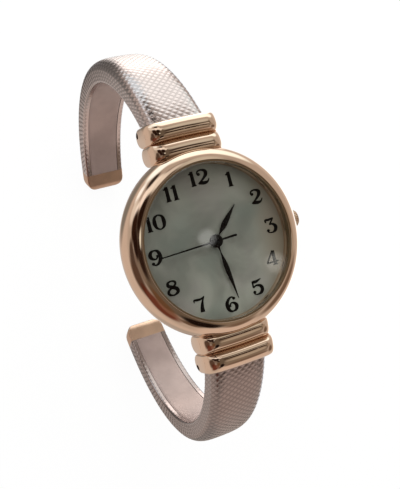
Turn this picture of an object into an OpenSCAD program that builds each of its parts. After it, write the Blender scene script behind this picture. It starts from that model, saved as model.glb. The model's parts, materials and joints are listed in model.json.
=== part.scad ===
// Bangle watch: a round case with a half-round polished bezel, two ribbed end links and
// two sprung bangle arms. +X points to 3 o'clock, +Y to 12 o'clock and +Z out of the dial.
// The origin is the centre of the case back's outer face. Sizes are in millimetres.

/* [Case] */
// Diameter of the round case
case_d = 32; // [28:0.5:38]
// Width of the bezel ring, from the opening to the widest line
bezel_w = 2.7; // [2.4:0.1:3.2]
// Radius of the half-round flank
flank_r = 3.3; // [3.1:0.1:3.5]
// How far the widest line lies below the dial's face
flank_drop = 1.25; // [1.15:0.05:1.3]
// Height of the case's lower rim
rim_z = 0.35; // [0.3:0.05:0.5]
// Width of the ledge that the dial is pushed up against
dial_ledge_w = 0.5; // [0.4:0.1:0.7]
// Thickness of the case back's disc
back_t = 0.45; // [0.35:0.05:0.5]
// Height of the case back's snap ring above the rim
snap_h = 0.65; // [0.5:0.05:0.8]
// Wall of the snap ring
snap_w = 0.75; // [0.6:0.05:0.9]

/* [Crystal and dial] */
// Height of the dial's face
dial_z = 4.35; // [4.3:0.05:4.45]
// Thickness of the mother-of-pearl disc
pearl_t = 0.18; // [0.12:0.02:0.2]
// Thickness of the brass dial blank
blank_t = 0.22; // [0.18:0.02:0.24]
// Height of the inner gold ring above the dial
dial_ring_h = 0.8; // [0.7:0.1:0.9]
// Width of the inner gold ring
dial_ring_w = 0.45; // [0.35:0.05:0.6]
// Thickness of the crystal
crystal_t = 1.0; // [0.8:0.05:1.1]
// Width of the crystal gasket
gasket_w = 0.3; // [0.2:0.05:0.4]
// Distance of the numerals' centres from the bezel's opening
numeral_inset = 2.5; // [2.2:0.1:3]
// Height of a numeral
numeral_h = 3; // [2.4:0.1:3.2]
// Height of the printed figures above the dial
print_t = 0.04; // [0.03:0.01:0.08]

/* [Hands] */
// Length of the hour hand
hour_len = 7.1; // [6:0.1:7.6]
// Length of the minute hand
minute_len = 10.2; // [9:0.1:10.4]
// Length of the seconds hand
second_len = 10.3; // [9:0.1:10.4]
// Length of the seconds hand's tail
second_tail = 3.6; // [2.5:0.1:4]
// Widest part of the hour and minute hands
hand_w = 1.0; // [0.8:0.05:1.2]
// Thickness of the hands
hand_t = 0.13; // [0.1:0.01:0.15]
// Radius of the round cap over the hands' centre
hub_r = 0.92; // [0.8:0.02:1]
// Hour shown at rest
show_h = 1; // [0:1:11]
// Minute shown at rest
show_m = 28; // [0:1:59]
// Second shown at rest
show_s = 44.7; // [0:0.1:59.9]

/* [Crown] */
// Height of the stem's axis
stem_z = 2.4; // [2.3:0.05:2.5]
// Radius of the stem
stem_r = 0.45; // [0.4:0.05:0.5]
// Radius of the crown
crown_r = 1.5; // [1.4:0.05:1.8]
// Length of the crown
crown_l = 1.45; // [1.3:0.05:2]
// How deep the crown's foot sinks into the flank
crown_sink = 0.5; // [0.4:0.05:0.6]
// Number of the crown's flutes
crown_flutes = 24; // [16:1:30]
// How far the crown pulls out
pull = 0.8; // [0.6:0.1:0.9]

/* [End links] */
// How far the end link reaches out from the case's edge
link_reach = 5.25; // [4.4:0.05:5.6]
// Thickness of the end link's cheeks beside the arm
cheek_t = 1.25; // [1:0.05:1.8]
// Half width of a rib
rib_r = 1.7; // [1.7:0.05:1.95]
// Distance between the two ribs
rib_pitch = 3.3; // [3.2:0.1:3.6]
// Rounding of the ribs' ends
rib_edge = 0.6; // [0.3:0.1:0.8]
// Thickness of the hood over the arm's root
hood_t = 1.9; // [1.6:0.1:2.2]
// Lowest point of the outer rib, under the case back
link_drop = 2.05; // [1.95:0.05:2.4]
// Distance of the hinge pin from the link's outer face
pin_inset = 1.15; // [1.1:0.05:1.3]
// Depth of the hinge pin's axis under the case back
pin_drop = 0.95; // [0.9:0.05:1.05]
// Radius of the hinge pin
pin_r = 0.5; // [0.4:0.05:0.55]
// How deep the pin's ends lie in their holes
pin_recess = 0.5; // [0.3:0.1:0.8]
// Width of the tenon that fixes the link to the case
tenon_w = 7; // [5:0.5:8]

/* [Bangle arms] */
// Inner width of the bangle
wrist_w = 66.8; // [58:0.2:76]
// Inner height of the full oval
wrist_h = 50.6; // [46:0.2:58]
// Gap between the arms' tips along the oval's middle line
tip_gap = 31.8; // [24:0.2:38]
// Thickness of the arm
arm_t = 4.32; // [4.2:0.02:4.6]
// Width of the arm at its root
arm_root_w = 10.5; // [9.5:0.1:12]
// Width of the arm at its tip
arm_tip_w = 8.1; // [6.5:0.1:9]
// Height of the arm's middle line where it leaves the link
arm_root_z = 0.2; // [0.1:0.05:0.4]
// Thickness of the embossed cover
cover_t = 0.6; // [0.5:0.05:0.7]
// Thickness of the smooth lining
lining_t = 0.5; // [0.4:0.05:0.6]
// Width of the cover's turned-in lip beside the lining
lip_w = 1.1; // [0.9:0.1:1.3]
// Thickness of the spring steel core
core_t = 0.8; // [0.6:0.05:0.9]
// Length of the gold tip cap along the arm
cap_l = 4.2; // [3:0.1:5]
// Largest opening of each arm, in degrees
arm_open = 18; // [10:1:18]

/* [Movement] */
// Radius of the movement's main plate
plate_r = 9; // [8.8:0.1:9.4]
// Radius of the battery
battery_r = 2.9; // [2.8:0.05:3.2]
// Thickness of the battery
battery_t = 2.15; // [1.8:0.05:2.2]
// Radius of the seconds arbor
arbor_r = 0.12; // [0.1:0.01:0.13]
// Radial play of the train's arbors
play = 0.03; // [0.02:0.01:0.04]

/* [Clearances] */
// Radial play of the hinge pin in the arm's knuckle
pin_play = 0.03; // [0.02:0.01:0.06]
// Side gap between the arm and the link's cheeks
cheek_gap = 0.15; // [0.1:0.05:0.25]
// Gap between parts that lie on each other
seat = 0.02; // [0.01:0.01:0.04]
// Radial play of the stem in its tube
stem_play = 0.05; // [0.03:0.01:0.08]

/* [Hidden] */
$fn = 48;
far = 60;

// Case
case_r = case_d / 2;
bore_r = case_r - bezel_w;
cavity_r = bore_r + dial_ledge_w;
flank_c = case_r - flank_r;
flank_z = dial_z - flank_drop;
lip_z = flank_z + sqrt(flank_r * flank_r - pow(bore_r - flank_c, 2));
flank_depth = min(flank_z - rim_z, 0.9 * flank_r);
foot_r = flank_c + sqrt(flank_r * flank_r - pow(flank_depth, 2));
back_r = foot_r - 0.2;
snap_r = cavity_r - 0.04;
groove_t = 0.28;
groove_z = rim_z + 0.2;

// Dial, crystal and hands
dial_r = cavity_r - 0.1;
pearl_z = dial_z - pearl_t;
blank_z = pearl_z - blank_t;
crystal_r = bore_r - gasket_w;
crystal_z = dial_z + 1.1;
crystal_edge = 0.12;
gasket_foot = 0.2;
gasket_top = lip_z - 0.1;
dial_feet = [115, 295];
dial_foot_x = plate_r - 1;
dial_foot_r = 0.35;
dial_foot_l = 0.9;
numeral_r = bore_r - numeral_inset;
hour_z = dial_z + 0.25;
minute_z = hour_z + hand_t + 0.14;
second_z = minute_z + hand_t + 0.12;
cap_z = second_z + hand_t;
second_turn = show_s * 6;
minute_turn = (show_m + show_s / 60) * 6;
hour_turn = (show_h + show_m / 60 + show_s / 3600) * 30;

// Movement levels, counted up from the back
bridge_z = 1;
bridge_t = 0.35;
floor_z = 2.35;
floor_t = 0.4;
plate_top = blank_z - seat;
plate_bottom = bridge_z + bridge_t + 0.05;
rim_w = 0.5;
battery_at = [-4.43, -3.71];
battery_z = back_t + 0.3;
screw_at = [[4.6, 3.2], [4.9, -4.3], [1.6, 6.9]];
screw_r = 0.28;
screw_head_r = 0.6;
screw_head_t = 0.25;
post_r = 0.7;
minute_post_r = 0.2;
setting_post_r = 0.25;
lever_post_r = 0.3;
battery_play = 0.12;
arbor_bottom = bridge_z + 0.1;
arbor_top = floor_z + 0.2;

// Gear train: teeth and modules, each pair on its own centre distance
rotor_n = 8;
inter_n = 60;
inter_pinion_n = 8;
second_n = 32;
second_pinion_n = 8;
third_n = 60;
third_pinion_n = 10;
centre_n = 80;
cannon_n = 12;
minute_n = 36;
minute_pinion_n = 10;
hour_n = 40;
setting_n = 20;
m_rotor = 0.07;
m_inter = 0.13;
m_second = 0.075;
m_cannon = 0.1;
d_rotor = m_rotor * (rotor_n + inter_n) / 2;
d_inter = m_inter * (inter_pinion_n + second_n) / 2;
d_third = m_second * (second_pinion_n + third_n) / 2;
d_minute = m_cannon * (cannon_n + minute_n) / 2;
d_setting = m_cannon * (minute_n + setting_n) / 2;
m_third = 2 * d_third / (third_pinion_n + centre_n);
m_hour = 2 * d_minute / (minute_pinion_n + hour_n);
a_inter = 100;
a_rotor = 160;
a_third = 310;
a_minute = 40;
a_setting = -20;
inter_at = d_inter * [cos(a_inter), sin(a_inter)];
rotor_at = inter_at + d_rotor * [cos(a_rotor), sin(a_rotor)];
third_at = d_third * [cos(a_third), sin(a_third)];
minute_at = d_minute * [cos(a_minute), sin(a_minute)];
setting_at = minute_at + d_setting * [cos(a_setting), sin(a_setting)];
cannon_bore = arbor_r + play;
cannon_r = 0.38;
hour_bore = cannon_r + play;
hour_tube_r = 0.68;
hand_bore = hour_tube_r + 0.02;
dial_hole_r = hour_tube_r + 0.15;

// Motor: the stator and the coil lie side by side at this angle
motor_a = 40;
coil_off = 2.6;
coil_half = 2.9;
coil_r = 0.72;
coil_z = 1.55;

// Stem and keyless works
stem_in = 4.9;
square_s = 0.5;
pinion_x = 5.75;
pinion_l = 0.7;
pinion_ro = 0.72;
groove_x = 6.85;
groove_w = 0.5;
groove_r = 0.25;
lever_l = 2.3;
lever_swing = asin(pull / 2 / lever_l);
lever_at = [groove_x + pull / 2, lever_l * cos(lever_swing)];
lever_z = stem_z + stem_r + 0.12;
crown_x = case_r - crown_sink;
tube_r = 1;
tube_in = cavity_r + 0.05;
tube_out = 0.45;
skirt_l = 0.75;
stem_hold = 0.3;
press = 0.005;
crown_pocket_r = crown_r + 0.12;

// End links
link_out = case_r + link_reach;
rib_y = link_out - rib_r;
rib2_y = rib_y - rib_pitch;
pocket_w = arm_root_w + 2 * cheek_gap;
half_l = pocket_w / 2 + cheek_t;
pin_y = link_out - pin_inset;
pin_z = -pin_drop;
rib2_lift = 0.45;
barrel_gap = 0.2;
hood_gap = 0.1;
link_gap = 0.03;
tenon_z = 1.3;
tenon_t = 1.9;
tenon_y = cavity_r + 0.5;

// Arms: an oval middle line through the root point
arm_a = (wrist_w + arm_t) / 2;
arm_b = (wrist_h + arm_t) / 2;
arm_c = arm_root_z - arm_b * sqrt(1 - pow(link_out / arm_a, 2));
root_in = 0.35;
root_y = link_out - root_in;
t_tip = -acos(tip_gap / 2 / arm_a);
t_cap = t_tip + cap_l / arm_a * 180 / PI * 1.02;
arm_steps = 40;
// The arm's back corner, seen from the pin, sets the hood's height while the arm opens
corner = [root_y - pin_y, oval_z(root_y, arm_t / 2) - pin_z];
corner_turn = min(90, atan2(corner[1], corner[0]) + arm_open);
hood_z = pin_z + norm(corner) * sin(corner_turn) + hood_gap;
link_top = hood_z + hood_t;
core_n = -arm_t / 2 + lining_t + seat + core_t / 2;
knuckle_l = 1.6;
core_y = link_out + knuckle_l;
core_inset = 1.25;
barrel_r = link_drop - pin_drop - 0.05;
eye_w = 1.9;
eye_out = arm_root_w / 2 - 0.1;
spring_wire = 0.13;
root_k = 0.16;
core_lean = atan2(oval_z(core_y, core_n) - pin_z, core_y - pin_y);
// The core's start face is square to the knuckle's tongue, whatever the oval's slope there
rise_n = oval_z(core_y, core_n + 0.5) - oval_z(core_y, core_n - 0.5);
rise_y = oval_z(core_y + 0.5, core_n) - oval_z(core_y - 0.5, core_n);
core_k = -rise_n * tan(core_lean) / (1 + rise_y * tan(core_lean));

// Height of the oval line at offset n from the middle, above the point y
function oval_z(y, n) = arm_c + (arm_b + n) * sqrt(1 - pow(y / (arm_a + n), 2));
// Angle on the oval line at offset n where it passes y
function oval_t(y, n) = acos(y / (arm_a + n));
// Point of the arm at angle t, with x across the arm and n outwards from the middle line
function arm_point(x, n, t) = [x, (arm_a + n) * cos(t), arm_c + (arm_b + n) * sin(t)];
// Width of the arm where its middle line is at angle t
function arm_width(t) = let(k = (oval_t(root_y, 0) - t) / (oval_t(root_y, 0) - t_tip))
  arm_root_w + (arm_tip_w - arm_root_w) * k;

// A tube through rings of points: each ring has the same number of points
module skin(rings) {
  m = len(rings[0]);
  last = len(rings) - 1;
  points = [for (ring = rings) each ring];
  sides = [
    for (i = [0:last - 1], j = [0:m - 1])
      each [
        [i * m + j, i * m + (j + 1) % m, (i + 1) * m + j],
        [i * m + (j + 1) % m, (i + 1) * m + (j + 1) % m, (i + 1) * m + j]
      ]
  ];
  // Each end is closed by a strip between the outline's first half and its second
  ends = [
    for (j = [0:floor((m - 1) / 2) - 1])
      each concat(
        [[j, m - 1 - j, j + 1], [last * m + j, last * m + j + 1, last * m + m - 1 - j]],
        j + 1 == m - 2 - j ? [] : [
          [j + 1, m - 1 - j, m - 2 - j],
          [last * m + j + 1, last * m + m - 2 - j, last * m + m - 1 - j]
        ]
      )
  ];
  polyhedron(points, concat(sides, ends));
}

// Half outline of the arm's outside for a width w and an inward offset d, from lip to crown
function half_outline(w, d) = let(h = arm_t / 2 - d, x = w / 2 - d, low = -arm_t / 2)
  concat(
    [[w / 2 - lip_w, low + (d > 0 ? d : 0)], [x - 0.35, low + (d > 0 ? d : 0)], [x, low + 0.35 + d]],
    [for (a = [0:15:90]) [x * pow(cos(a), 0.55), 0.15 + (h - 0.15) * pow(sin(a), 0.8)]]
  );
function mirrored(list) = [for (i = [len(list) - 1:-1:0]) [-list[i][0], list[i][1]]];
// Outline of the cover: outside from lip to lip, then back along its inside
function cover_outline(w) = let(
    outside = half_outline(w, 0),
    inside = half_outline(w, cover_t),
    count = len(outside)
  )
  concat(
    outside,
    [for (i = [count - 2:-1:0]) [-outside[i][0], outside[i][1]]],
    [for (i = [0:count - 1]) [-inside[i][0], inside[i][1]]],
    [for (i = [count - 2:-1:0]) inside[i]]
  );
function box_outline(x, n0, n1) = [[x, n0], [x, n1], [-x, n1], [-x, n0]];

// One ring of an arm layer: s runs from 0 at the start, where y is y0 + k * n, to 1 at angle t1
function layer_ring(outline, y0, k, t1, s) = [
  for (p = outline)
    let(t0 = oval_t(y0 + k * p[1], p[1])) arm_point(p[0], p[1], t0 + (t1 - t0) * s)
];

module place_lower() {
  mirror([0, 1, 0]) children();
}

module ring(r0, r1, z0, z1) {
  translate([0, 0, z0]) difference() {
    cylinder(r = r1, h = z1 - z0, $fn = 96);
    translate([0, 0, -1]) cylinder(r = r0, h = z1 - z0 + 2, $fn = 96);
  }
}

// Gear blank with straight-flanked teeth: n teeth of module m, one tooth at angle phase
module gear_2d(n, m, phase) {
  rp = n * m / 2;
  tip = rp + 0.8 * m;
  root = rp - 1.15 * m;
  step = 360 / n;
  polygon([
    for (i = [0:n - 1])
      let(a = phase + i * step)
        each [
          root * [cos(a - 0.27 * step), sin(a - 0.27 * step)],
          tip * [cos(a - 0.1 * step), sin(a - 0.1 * step)],
          tip * [cos(a + 0.1 * step), sin(a + 0.1 * step)],
          root * [cos(a + 0.27 * step), sin(a + 0.27 * step)]
        ]
  ]);
}

// Phase that sets a gear of nb teeth in mesh with one of na teeth and phase pa,
// where the line of centres leaves the first gear at angle line
function mesh_phase(na, pa, nb, line) = line + 180 + (0.5 - (pa - line) * na / 360) * 360 / nb;

module gear(n, m, phase, z0, z1) {
  translate([0, 0, z0]) linear_extrude(z1 - z0) gear_2d(n, m, phase);
}

module rod(r, z0, z1) {
  translate([0, 0, z0]) cylinder(r = r, h = z1 - z0);
}

// Outline of the case's flank, grown by gap
module flank_2d(gap) {
  difference() {
    union() {
      translate([flank_c, flank_z]) circle(r = flank_r + gap, $fn = 96);
      translate([0, flank_z - flank_r - gap]) square([flank_c, 2 * (flank_r + gap)]);
      translate([0, rim_z]) square([foot_r - 0.05 + gap, flank_z - rim_z]);
    }
    translate([-far, -far]) square([far, 2 * far]);
  }
}

module case() {
  color("#d9ab86") difference() {
    rotate_extrude($fn = 128) difference() {
      flank_2d(0);
      translate([0, -far]) square([bore_r, 2 * far]);
      translate([0, -far]) square([cavity_r, far + dial_z + seat]);
      translate([0, -far]) square([far, far + rim_z]);
    }
    translate([0, 0, stem_z]) rotate([0, 90, 0]) cylinder(r = tube_r, h = far);
    translate([crown_x - 0.1, 0, stem_z]) rotate([0, 90, 0]) cylinder(r = crown_pocket_r, h = far);
    for (side = [-1, 1])
      translate([-tenon_w / 2 - seat, side > 0 ? tenon_y - seat : -tenon_y + seat - far, tenon_z - seat])
        cube([tenon_w + 2 * seat, far, tenon_t + 2 * seat]);
  }
}

module case_back() {
  color("silver") rotate_extrude($fn = 128) difference() {
    union() {
      polygon([[0, 0], [back_r - 0.2, 0], [back_r, 0.2], [back_r, rim_z], [0, rim_z]]);
      square([snap_r - snap_w, back_t]);
      translate([snap_r - snap_w, 0]) square([snap_w, rim_z + snap_h]);
    }
    translate([snap_r - groove_t, groove_z]) square([groove_t + 1, groove_t]);
  }
}

module back_gasket() {
  color("#222222")
    ring(snap_r - groove_t + seat, cavity_r - 0.01, groove_z + seat, groove_z + groove_t - seat);
}

module crystal() {
  color("#cfe3e6", 0.4) rotate_extrude($fn = 128) polygon([
    [0, crystal_z], [crystal_r - seat, crystal_z],
    [crystal_r - seat, crystal_z + crystal_t - crystal_edge],
    [crystal_r - seat - crystal_edge, crystal_z + crystal_t], [0, crystal_z + crystal_t]
  ]);
}

module crystal_gasket() {
  color("#e8e4da") rotate_extrude($fn = 128) polygon([
    [crystal_r, crystal_z - gasket_foot], [bore_r - seat, crystal_z - gasket_foot],
    [bore_r - seat, gasket_top], [crystal_r, gasket_top]
  ]);
}

module dial_ring() {
  top = dial_z + dial_ring_h;
  color("#b98f5a") rotate_extrude($fn = 128) polygon([
    [bore_r - dial_ring_w, dial_z + seat], [bore_r - seat, dial_z + seat], [bore_r - seat, top],
    [bore_r - dial_ring_w + 0.2, top], [bore_r - dial_ring_w, dial_z + 0.25]
  ]);
}

module pearl_dial() {
  color("#8d8f80") difference() {
    translate([0, 0, pearl_z]) cylinder(r = dial_r, h = pearl_t, $fn = 128);
    rod(dial_hole_r, pearl_z - 1, dial_z + 1);
  }
}

module dial_blank() {
  color("#b9a06a") {
    difference() {
      translate([0, 0, blank_z]) cylinder(r = dial_r, h = blank_t - 0.005, $fn = 128);
      rod(dial_hole_r, blank_z - 1, dial_z);
    }
    for (a = dial_feet)
      rotate([0, 0, a]) translate([dial_foot_x, 0, 0])
        rod(dial_foot_r, plate_top - dial_foot_l, blank_z + 0.02);
  }
}

// Seven straight strokes stand for one figure on a box one unit wide and 1.7 high
strokes = [
  [1, 1, 1, 0, 1, 1, 1], [0, 0, 1, 0, 0, 1, 0], [1, 0, 1, 1, 1, 0, 1], [1, 0, 1, 1, 0, 1, 1],
  [0, 1, 1, 1, 0, 1, 0], [1, 1, 0, 1, 0, 1, 1], [1, 1, 0, 1, 1, 1, 1], [1, 0, 1, 0, 0, 1, 0],
  [1, 1, 1, 1, 1, 1, 1], [1, 1, 1, 1, 0, 1, 1]
];
module figure(d) {
  s = 0.2;
  bars = [
    [0, 1.7 - s, 1, s], [0, 0.85 - s / 2, s, 0.85 + s / 2], [1 - s, 0.85 - s / 2, s, 0.85 + s / 2],
    [0, 0.85 - s / 2, 1, s], [0, 0, s, 0.85 + s / 2], [1 - s, 0, s, 0.85 + s / 2], [0, 0, 1, s]
  ];
  for (i = [0:6])
    if (strokes[d][i] == 1) translate([bars[i][0], bars[i][1]]) square([bars[i][2], bars[i][3]]);
}
module dial_numerals() {
  k = numeral_h / 1.7;
  color("#15130f")
    for (h = [1:12]) {
      digits = h < 10 ? [h] : [1, h - 10];
      width = len(digits) == 1 ? 1 : 2.2;
      translate([numeral_r * sin(h * 30), numeral_r * cos(h * 30), dial_z])
        linear_extrude(print_t)
          scale(k)
            for (i = [0:len(digits) - 1])
              translate([i * 1.2 - width / 2, -0.85]) figure(digits[i]);
    }
}

// Leaf-shaped hand: narrow neck, widest a third of the way out, drawn to a point
module leaf_2d(length, width, boss) {
  circle(r = boss);
  polygon([
    [-0.17, 0], [0.17, 0], [0.17, boss + 0.2], [width * 0.3, length * 0.28],
    [width / 2, length * 0.45], [width * 0.36, length * 0.68], [0.05, length],
    [-0.05, length], [-width * 0.36, length * 0.68], [-width / 2, length * 0.45],
    [-width * 0.3, length * 0.28], [-0.17, boss + 0.2]
  ]);
}

module hour_hand() {
  color("#17150f") rotate([0, 0, -hour_turn]) translate([0, 0, hour_z]) linear_extrude(hand_t)
    difference() {
      leaf_2d(hour_len, hand_w, hub_r);
      circle(r = hand_bore - 0.02);
    }
}

module minute_hand() {
  color("#17150f") rotate([0, 0, -minute_turn]) translate([0, 0, minute_z]) linear_extrude(hand_t)
    difference() {
      leaf_2d(minute_len, hand_w * 0.9, hub_r * 0.9);
      circle(r = cannon_r);
    }
}

module seconds_hand() {
  color("#17150f") rotate([0, 0, -second_turn]) {
    translate([0, 0, second_z]) linear_extrude(hand_t) difference() {
      union() {
        polygon([[-0.12, 0], [0.12, 0], [0.04, second_len], [-0.04, second_len]]);
        translate([-0.14, -second_tail]) square([0.28, second_tail]);
        translate([0, -second_tail]) circle(r = 0.2);
        circle(r = hub_r);
      }
      circle(r = arbor_r);
    }
    translate([0, 0, cap_z]) cylinder(r1 = hub_r, r2 = hub_r * 0.7, h = 0.12);
  }
}

module movement_ring() {
  color("#d8d2c4") difference() {
    ring(plate_r + 0.05, cavity_r - 0.1, plate_bottom, blank_z - seat);
    translate([0, -1.4, plate_bottom + 0.3]) cube([far, 2.8, 2]);
    for (a = dial_feet)
      rotate([0, 0, a]) translate([dial_foot_x, 0, 0]) rod(dial_foot_r + 0.05, 0, plate_top + 1);
    for (a = [60:60:300])
      rotate([0, 0, a]) translate([(plate_r + cavity_r) / 2, 0, plate_bottom - 1])
        cylinder(r = 1.1, h = 1.9);
  }
}

module main_plate() {
  color("#c9c2ae") difference() {
    union() {
      ring(plate_r - rim_w, plate_r, plate_bottom, plate_top);
      translate([0, 0, floor_z]) cylinder(r = plate_r - 0.1, h = floor_t, $fn = 96);
      for (p = screw_at) translate(p) rod(post_r, bridge_z + bridge_t, floor_z + 0.1);
      translate([plate_r - 1.1, -1.2, plate_bottom]) cube([0.8, 2.4, lever_z - plate_bottom - 0.1]);
      for (a = dial_feet)
        rotate([0, 0, a]) translate([dial_foot_x, 0, 0]) rod(dial_foot_r + 0.45, floor_z, plate_top);
      translate(minute_at) rod(minute_post_r, floor_z, plate_top - 0.1);
      translate(setting_at) rod(setting_post_r, floor_z, lever_z + 0.1);
      translate(lever_at) rod(lever_post_r, floor_z, lever_z + 0.3);
    }
    translate(battery_at) rod(battery_r + battery_play, 0, plate_top + 1);
    rod(cannon_r + play, 0, plate_top);
    for (p = [inter_at, rotor_at, third_at])
      translate(p) rod(arbor_r + play, floor_z - 1, arbor_top + 0.1);
    for (p = screw_at) translate(p) rod(screw_r + seat, 0, floor_z);
    translate([stem_in - 0.3, -0.85, floor_z - 0.3]) cube([2.6, 1.7, floor_t + 0.4]);
    translate([stem_in, 0, stem_z]) rotate([0, 90, 0]) cylinder(r = stem_r + stem_play, h = far);
    for (a = dial_feet)
      rotate([0, 0, a]) translate([dial_foot_x, 0, 0])
        rod(dial_foot_r + seat, floor_z + floor_t, plate_top + 1);
  }
}

module train_bridge() {
  color("#b7b9ba") difference() {
    translate([0, 0, bridge_z]) linear_extrude(bridge_t) polygon([
      [-3.6, 2.2], [-3.3, 4.2], [1, 7.7], [2.4, 7.5], [5.6, 3.6], [5.9, -4], [4.6, -5.3],
      [0.6, -3.6], [-0.9, -1.2]
    ]);
    for (p = [[0, 0], inter_at, rotor_at, third_at]) translate(p) rod(arbor_r + play, 0, 3);
    for (p = screw_at) translate(p) rod(screw_r + 2 * seat, 0, 3);
  }
}

module bridge_screws() {
  color("#8f9194")
    for (p = screw_at)
      translate(p) difference() {
        union() {
          rod(screw_r, bridge_z - 0.05, floor_z - 0.1);
          rod(screw_head_r, bridge_z - screw_head_t, bridge_z);
        }
        translate([-1, -0.07, bridge_z - screw_head_t - 0.1]) cube([2, 0.14, 0.2]);
      }
}

// Places children with the motor's long axis on X and the rotor at the origin
module on_motor() {
  translate(rotor_at) rotate([0, 0, motor_a]) children();
}

module stator() {
  color("#9aa0a3") on_motor() difference() {
    translate([-coil_half - 0.8, -0.95, coil_z + 0.1]) cube([2 * coil_half + 1.6, 1.9, 0.2]);
    rod(0.75, 0, 4);
  }
}

module coil() {
  color("#a4572a") on_motor() translate([-coil_half, coil_off, coil_z]) rotate([0, 90, 0])
    difference() {
      union() {
        cylinder(r = coil_r, h = 2 * coil_half);
        for (x = [0, 2 * coil_half - 0.25]) translate([0, 0, x]) cylinder(r = coil_r + 0.06, h = 0.25);
      }
      translate([-0.12, -0.42, -1]) cube([0.24, 0.84, 2 * coil_half + 2]);
    }
}

module coil_core() {
  end = coil_half + 0.8;
  color("#8a8f93") on_motor() translate([0, 0, coil_z - 0.1]) linear_extrude(0.2 - 0.01)
    polygon([
      [-end, -0.6], [-coil_half - 0.1, -0.6], [-coil_half - 0.1, coil_off - 0.4],
      [coil_half + 0.1, coil_off - 0.4], [coil_half + 0.1, -0.6], [end, -0.6],
      [end, coil_off + 0.4], [-end, coil_off + 0.4]
    ]);
}

module circuit_board() {
  color("#2f6b3f") difference() {
    union() {
      translate([0, 0, floor_z - 0.3]) linear_extrude(0.25) intersection() {
        circle(r = plate_r - rim_w - 0.1);
        translate([-0.6, -9]) square([9, 3.6]);
      }
      translate([3.4, -6.8, floor_z - 0.75]) cube([1.4, 1.2, 0.46]);
    }
    translate(battery_at) rod(battery_r + battery_play, 0, 5);
    translate(screw_at[1]) rod(post_r + 0.15, 0, 5);
  }
}

module quartz_can() {
  color("silver") translate([-0.6, -7.1, floor_z - 0.3 - 0.62]) rotate([0, 90, 0])
    cylinder(r = 0.6, h = 3.6);
}

module battery() {
  color("#c8cacc") translate(battery_at) {
    rod(battery_r - 0.35, battery_z, battery_z + 0.3);
    rod(battery_r, battery_z + 0.25, battery_z + battery_t);
  }
}

module battery_clip() {
  top = battery_z + battery_t + seat;
  color("#b08d4c") translate(battery_at) {
    difference() {
      rod(battery_r, top, top + 0.15);
      rod(battery_r - 1.1, top - 1, top + 1);
    }
    translate([battery_r - 1.2, -0.5, top]) cube([1.3, 1, 0.15]);
  }
}

// Rest phases of the train, each set in mesh with the one before
ph_inter = mesh_phase(rotor_n, 0, inter_n, a_rotor + 180);
ph_second = mesh_phase(inter_pinion_n, 0, second_n, a_inter + 180);
ph_third = mesh_phase(second_pinion_n, 0, third_n, a_third);
ph_centre = mesh_phase(third_pinion_n, 0, centre_n, a_third + 180);
ph_minute = mesh_phase(cannon_n, 0, minute_n, a_minute);
ph_hour = mesh_phase(minute_pinion_n, 0, hour_n, a_minute + 180);
ph_setting = mesh_phase(minute_n, ph_minute, setting_n, a_setting);
z_inter = bridge_z + bridge_t + 0.07;
z_second = z_inter + 0.13;
z_third = z_second + 0.23;
z_centre = z_third + 0.25;
z_minute = floor_z + floor_t + 0.1;
z_hour = z_minute + 0.5;

module rotor() {
  color("#5a5f66") translate(rotor_at) {
    rod(arbor_r, arbor_bottom, arbor_top);
    gear(rotor_n, m_rotor, 0, z_inter - 0.02, z_inter + 0.14);
    rod(0.6, coil_z, coil_z + 0.45);
  }
}

module intermediate_wheel() {
  color("#cdb36a") translate(inter_at) {
    rod(arbor_r, arbor_bottom, arbor_top);
    gear(inter_n, m_rotor, ph_inter, z_inter, z_inter + 0.1);
    gear(inter_pinion_n, m_inter, 0, z_inter + 0.09, z_second + 0.18);
  }
}

module seconds_wheel() {
  color("#cdb36a") {
    rod(arbor_r, arbor_bottom, second_z + hand_t - 0.01);
    gear(second_n, m_inter, ph_second, z_second, z_second + 0.15);
    gear(second_pinion_n, m_second, 0, z_second + 0.14, z_third + 0.15);
  }
}

module third_wheel() {
  color("#cdb36a") translate(third_at) {
    rod(arbor_r, arbor_bottom, arbor_top);
    gear(third_n, m_second, ph_third, z_third, z_third + 0.12);
    gear(third_pinion_n, m_third, 0, z_third + 0.11, z_centre + 0.17);
  }
}

module centre_wheel() {
  color("#cdb36a") difference() {
    union() {
      gear(centre_n, m_third, ph_centre, z_centre, z_centre + 0.14);
      rod(cannon_r, z_centre, minute_z + hand_t - 0.01);
      gear(cannon_n, m_cannon, 0, z_minute - 0.05, z_hour - 0.1);
    }
    rod(cannon_bore, 0, 8);
  }
}

module minute_wheel() {
  color("#cdb36a") translate(minute_at) difference() {
    union() {
      gear(minute_n, m_cannon, ph_minute, z_minute, z_minute + 0.2);
      gear(minute_pinion_n, m_hour, 0, z_minute + 0.19, z_hour + 0.22);
    }
    rod(minute_post_r + play, 0, 8);
  }
}

module hour_wheel() {
  color("#cdb36a") difference() {
    union() {
      gear(hour_n, m_hour, ph_hour, z_hour, z_hour + 0.2);
      rod(hour_tube_r, z_hour, hour_z + hand_t - 0.01);
    }
    rod(hour_bore, 0, 8);
  }
}

module setting_wheel() {
  color("#b9bcc0") translate(setting_at) difference() {
    gear(setting_n, m_cannon, ph_setting, z_minute, z_minute + 0.2);
    rod(setting_post_r + play, 0, 8);
  }
}

module setting_lever() {
  color("#9ea3a8") translate(lever_at) rotate([0, 0, -lever_swing]) {
    difference() {
      union() {
        rod(0.65, lever_z, lever_z + 0.2);
        translate([-0.3, -lever_l, lever_z]) cube([0.6, lever_l, 0.2]);
        translate([0, -lever_l, 0]) rod(0.3, lever_z, lever_z + 0.2);
      }
      rod(lever_post_r + play, 0, 8);
    }
    translate([0, -lever_l, 0]) rod(0.16, stem_z + groove_r + 0.06, lever_z + 0.05);
  }
}

// Turns children from +Z to +X at the stem's axis
module on_stem(x) {
  translate([x, 0, stem_z]) rotate([0, 90, 0]) children();
}

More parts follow.
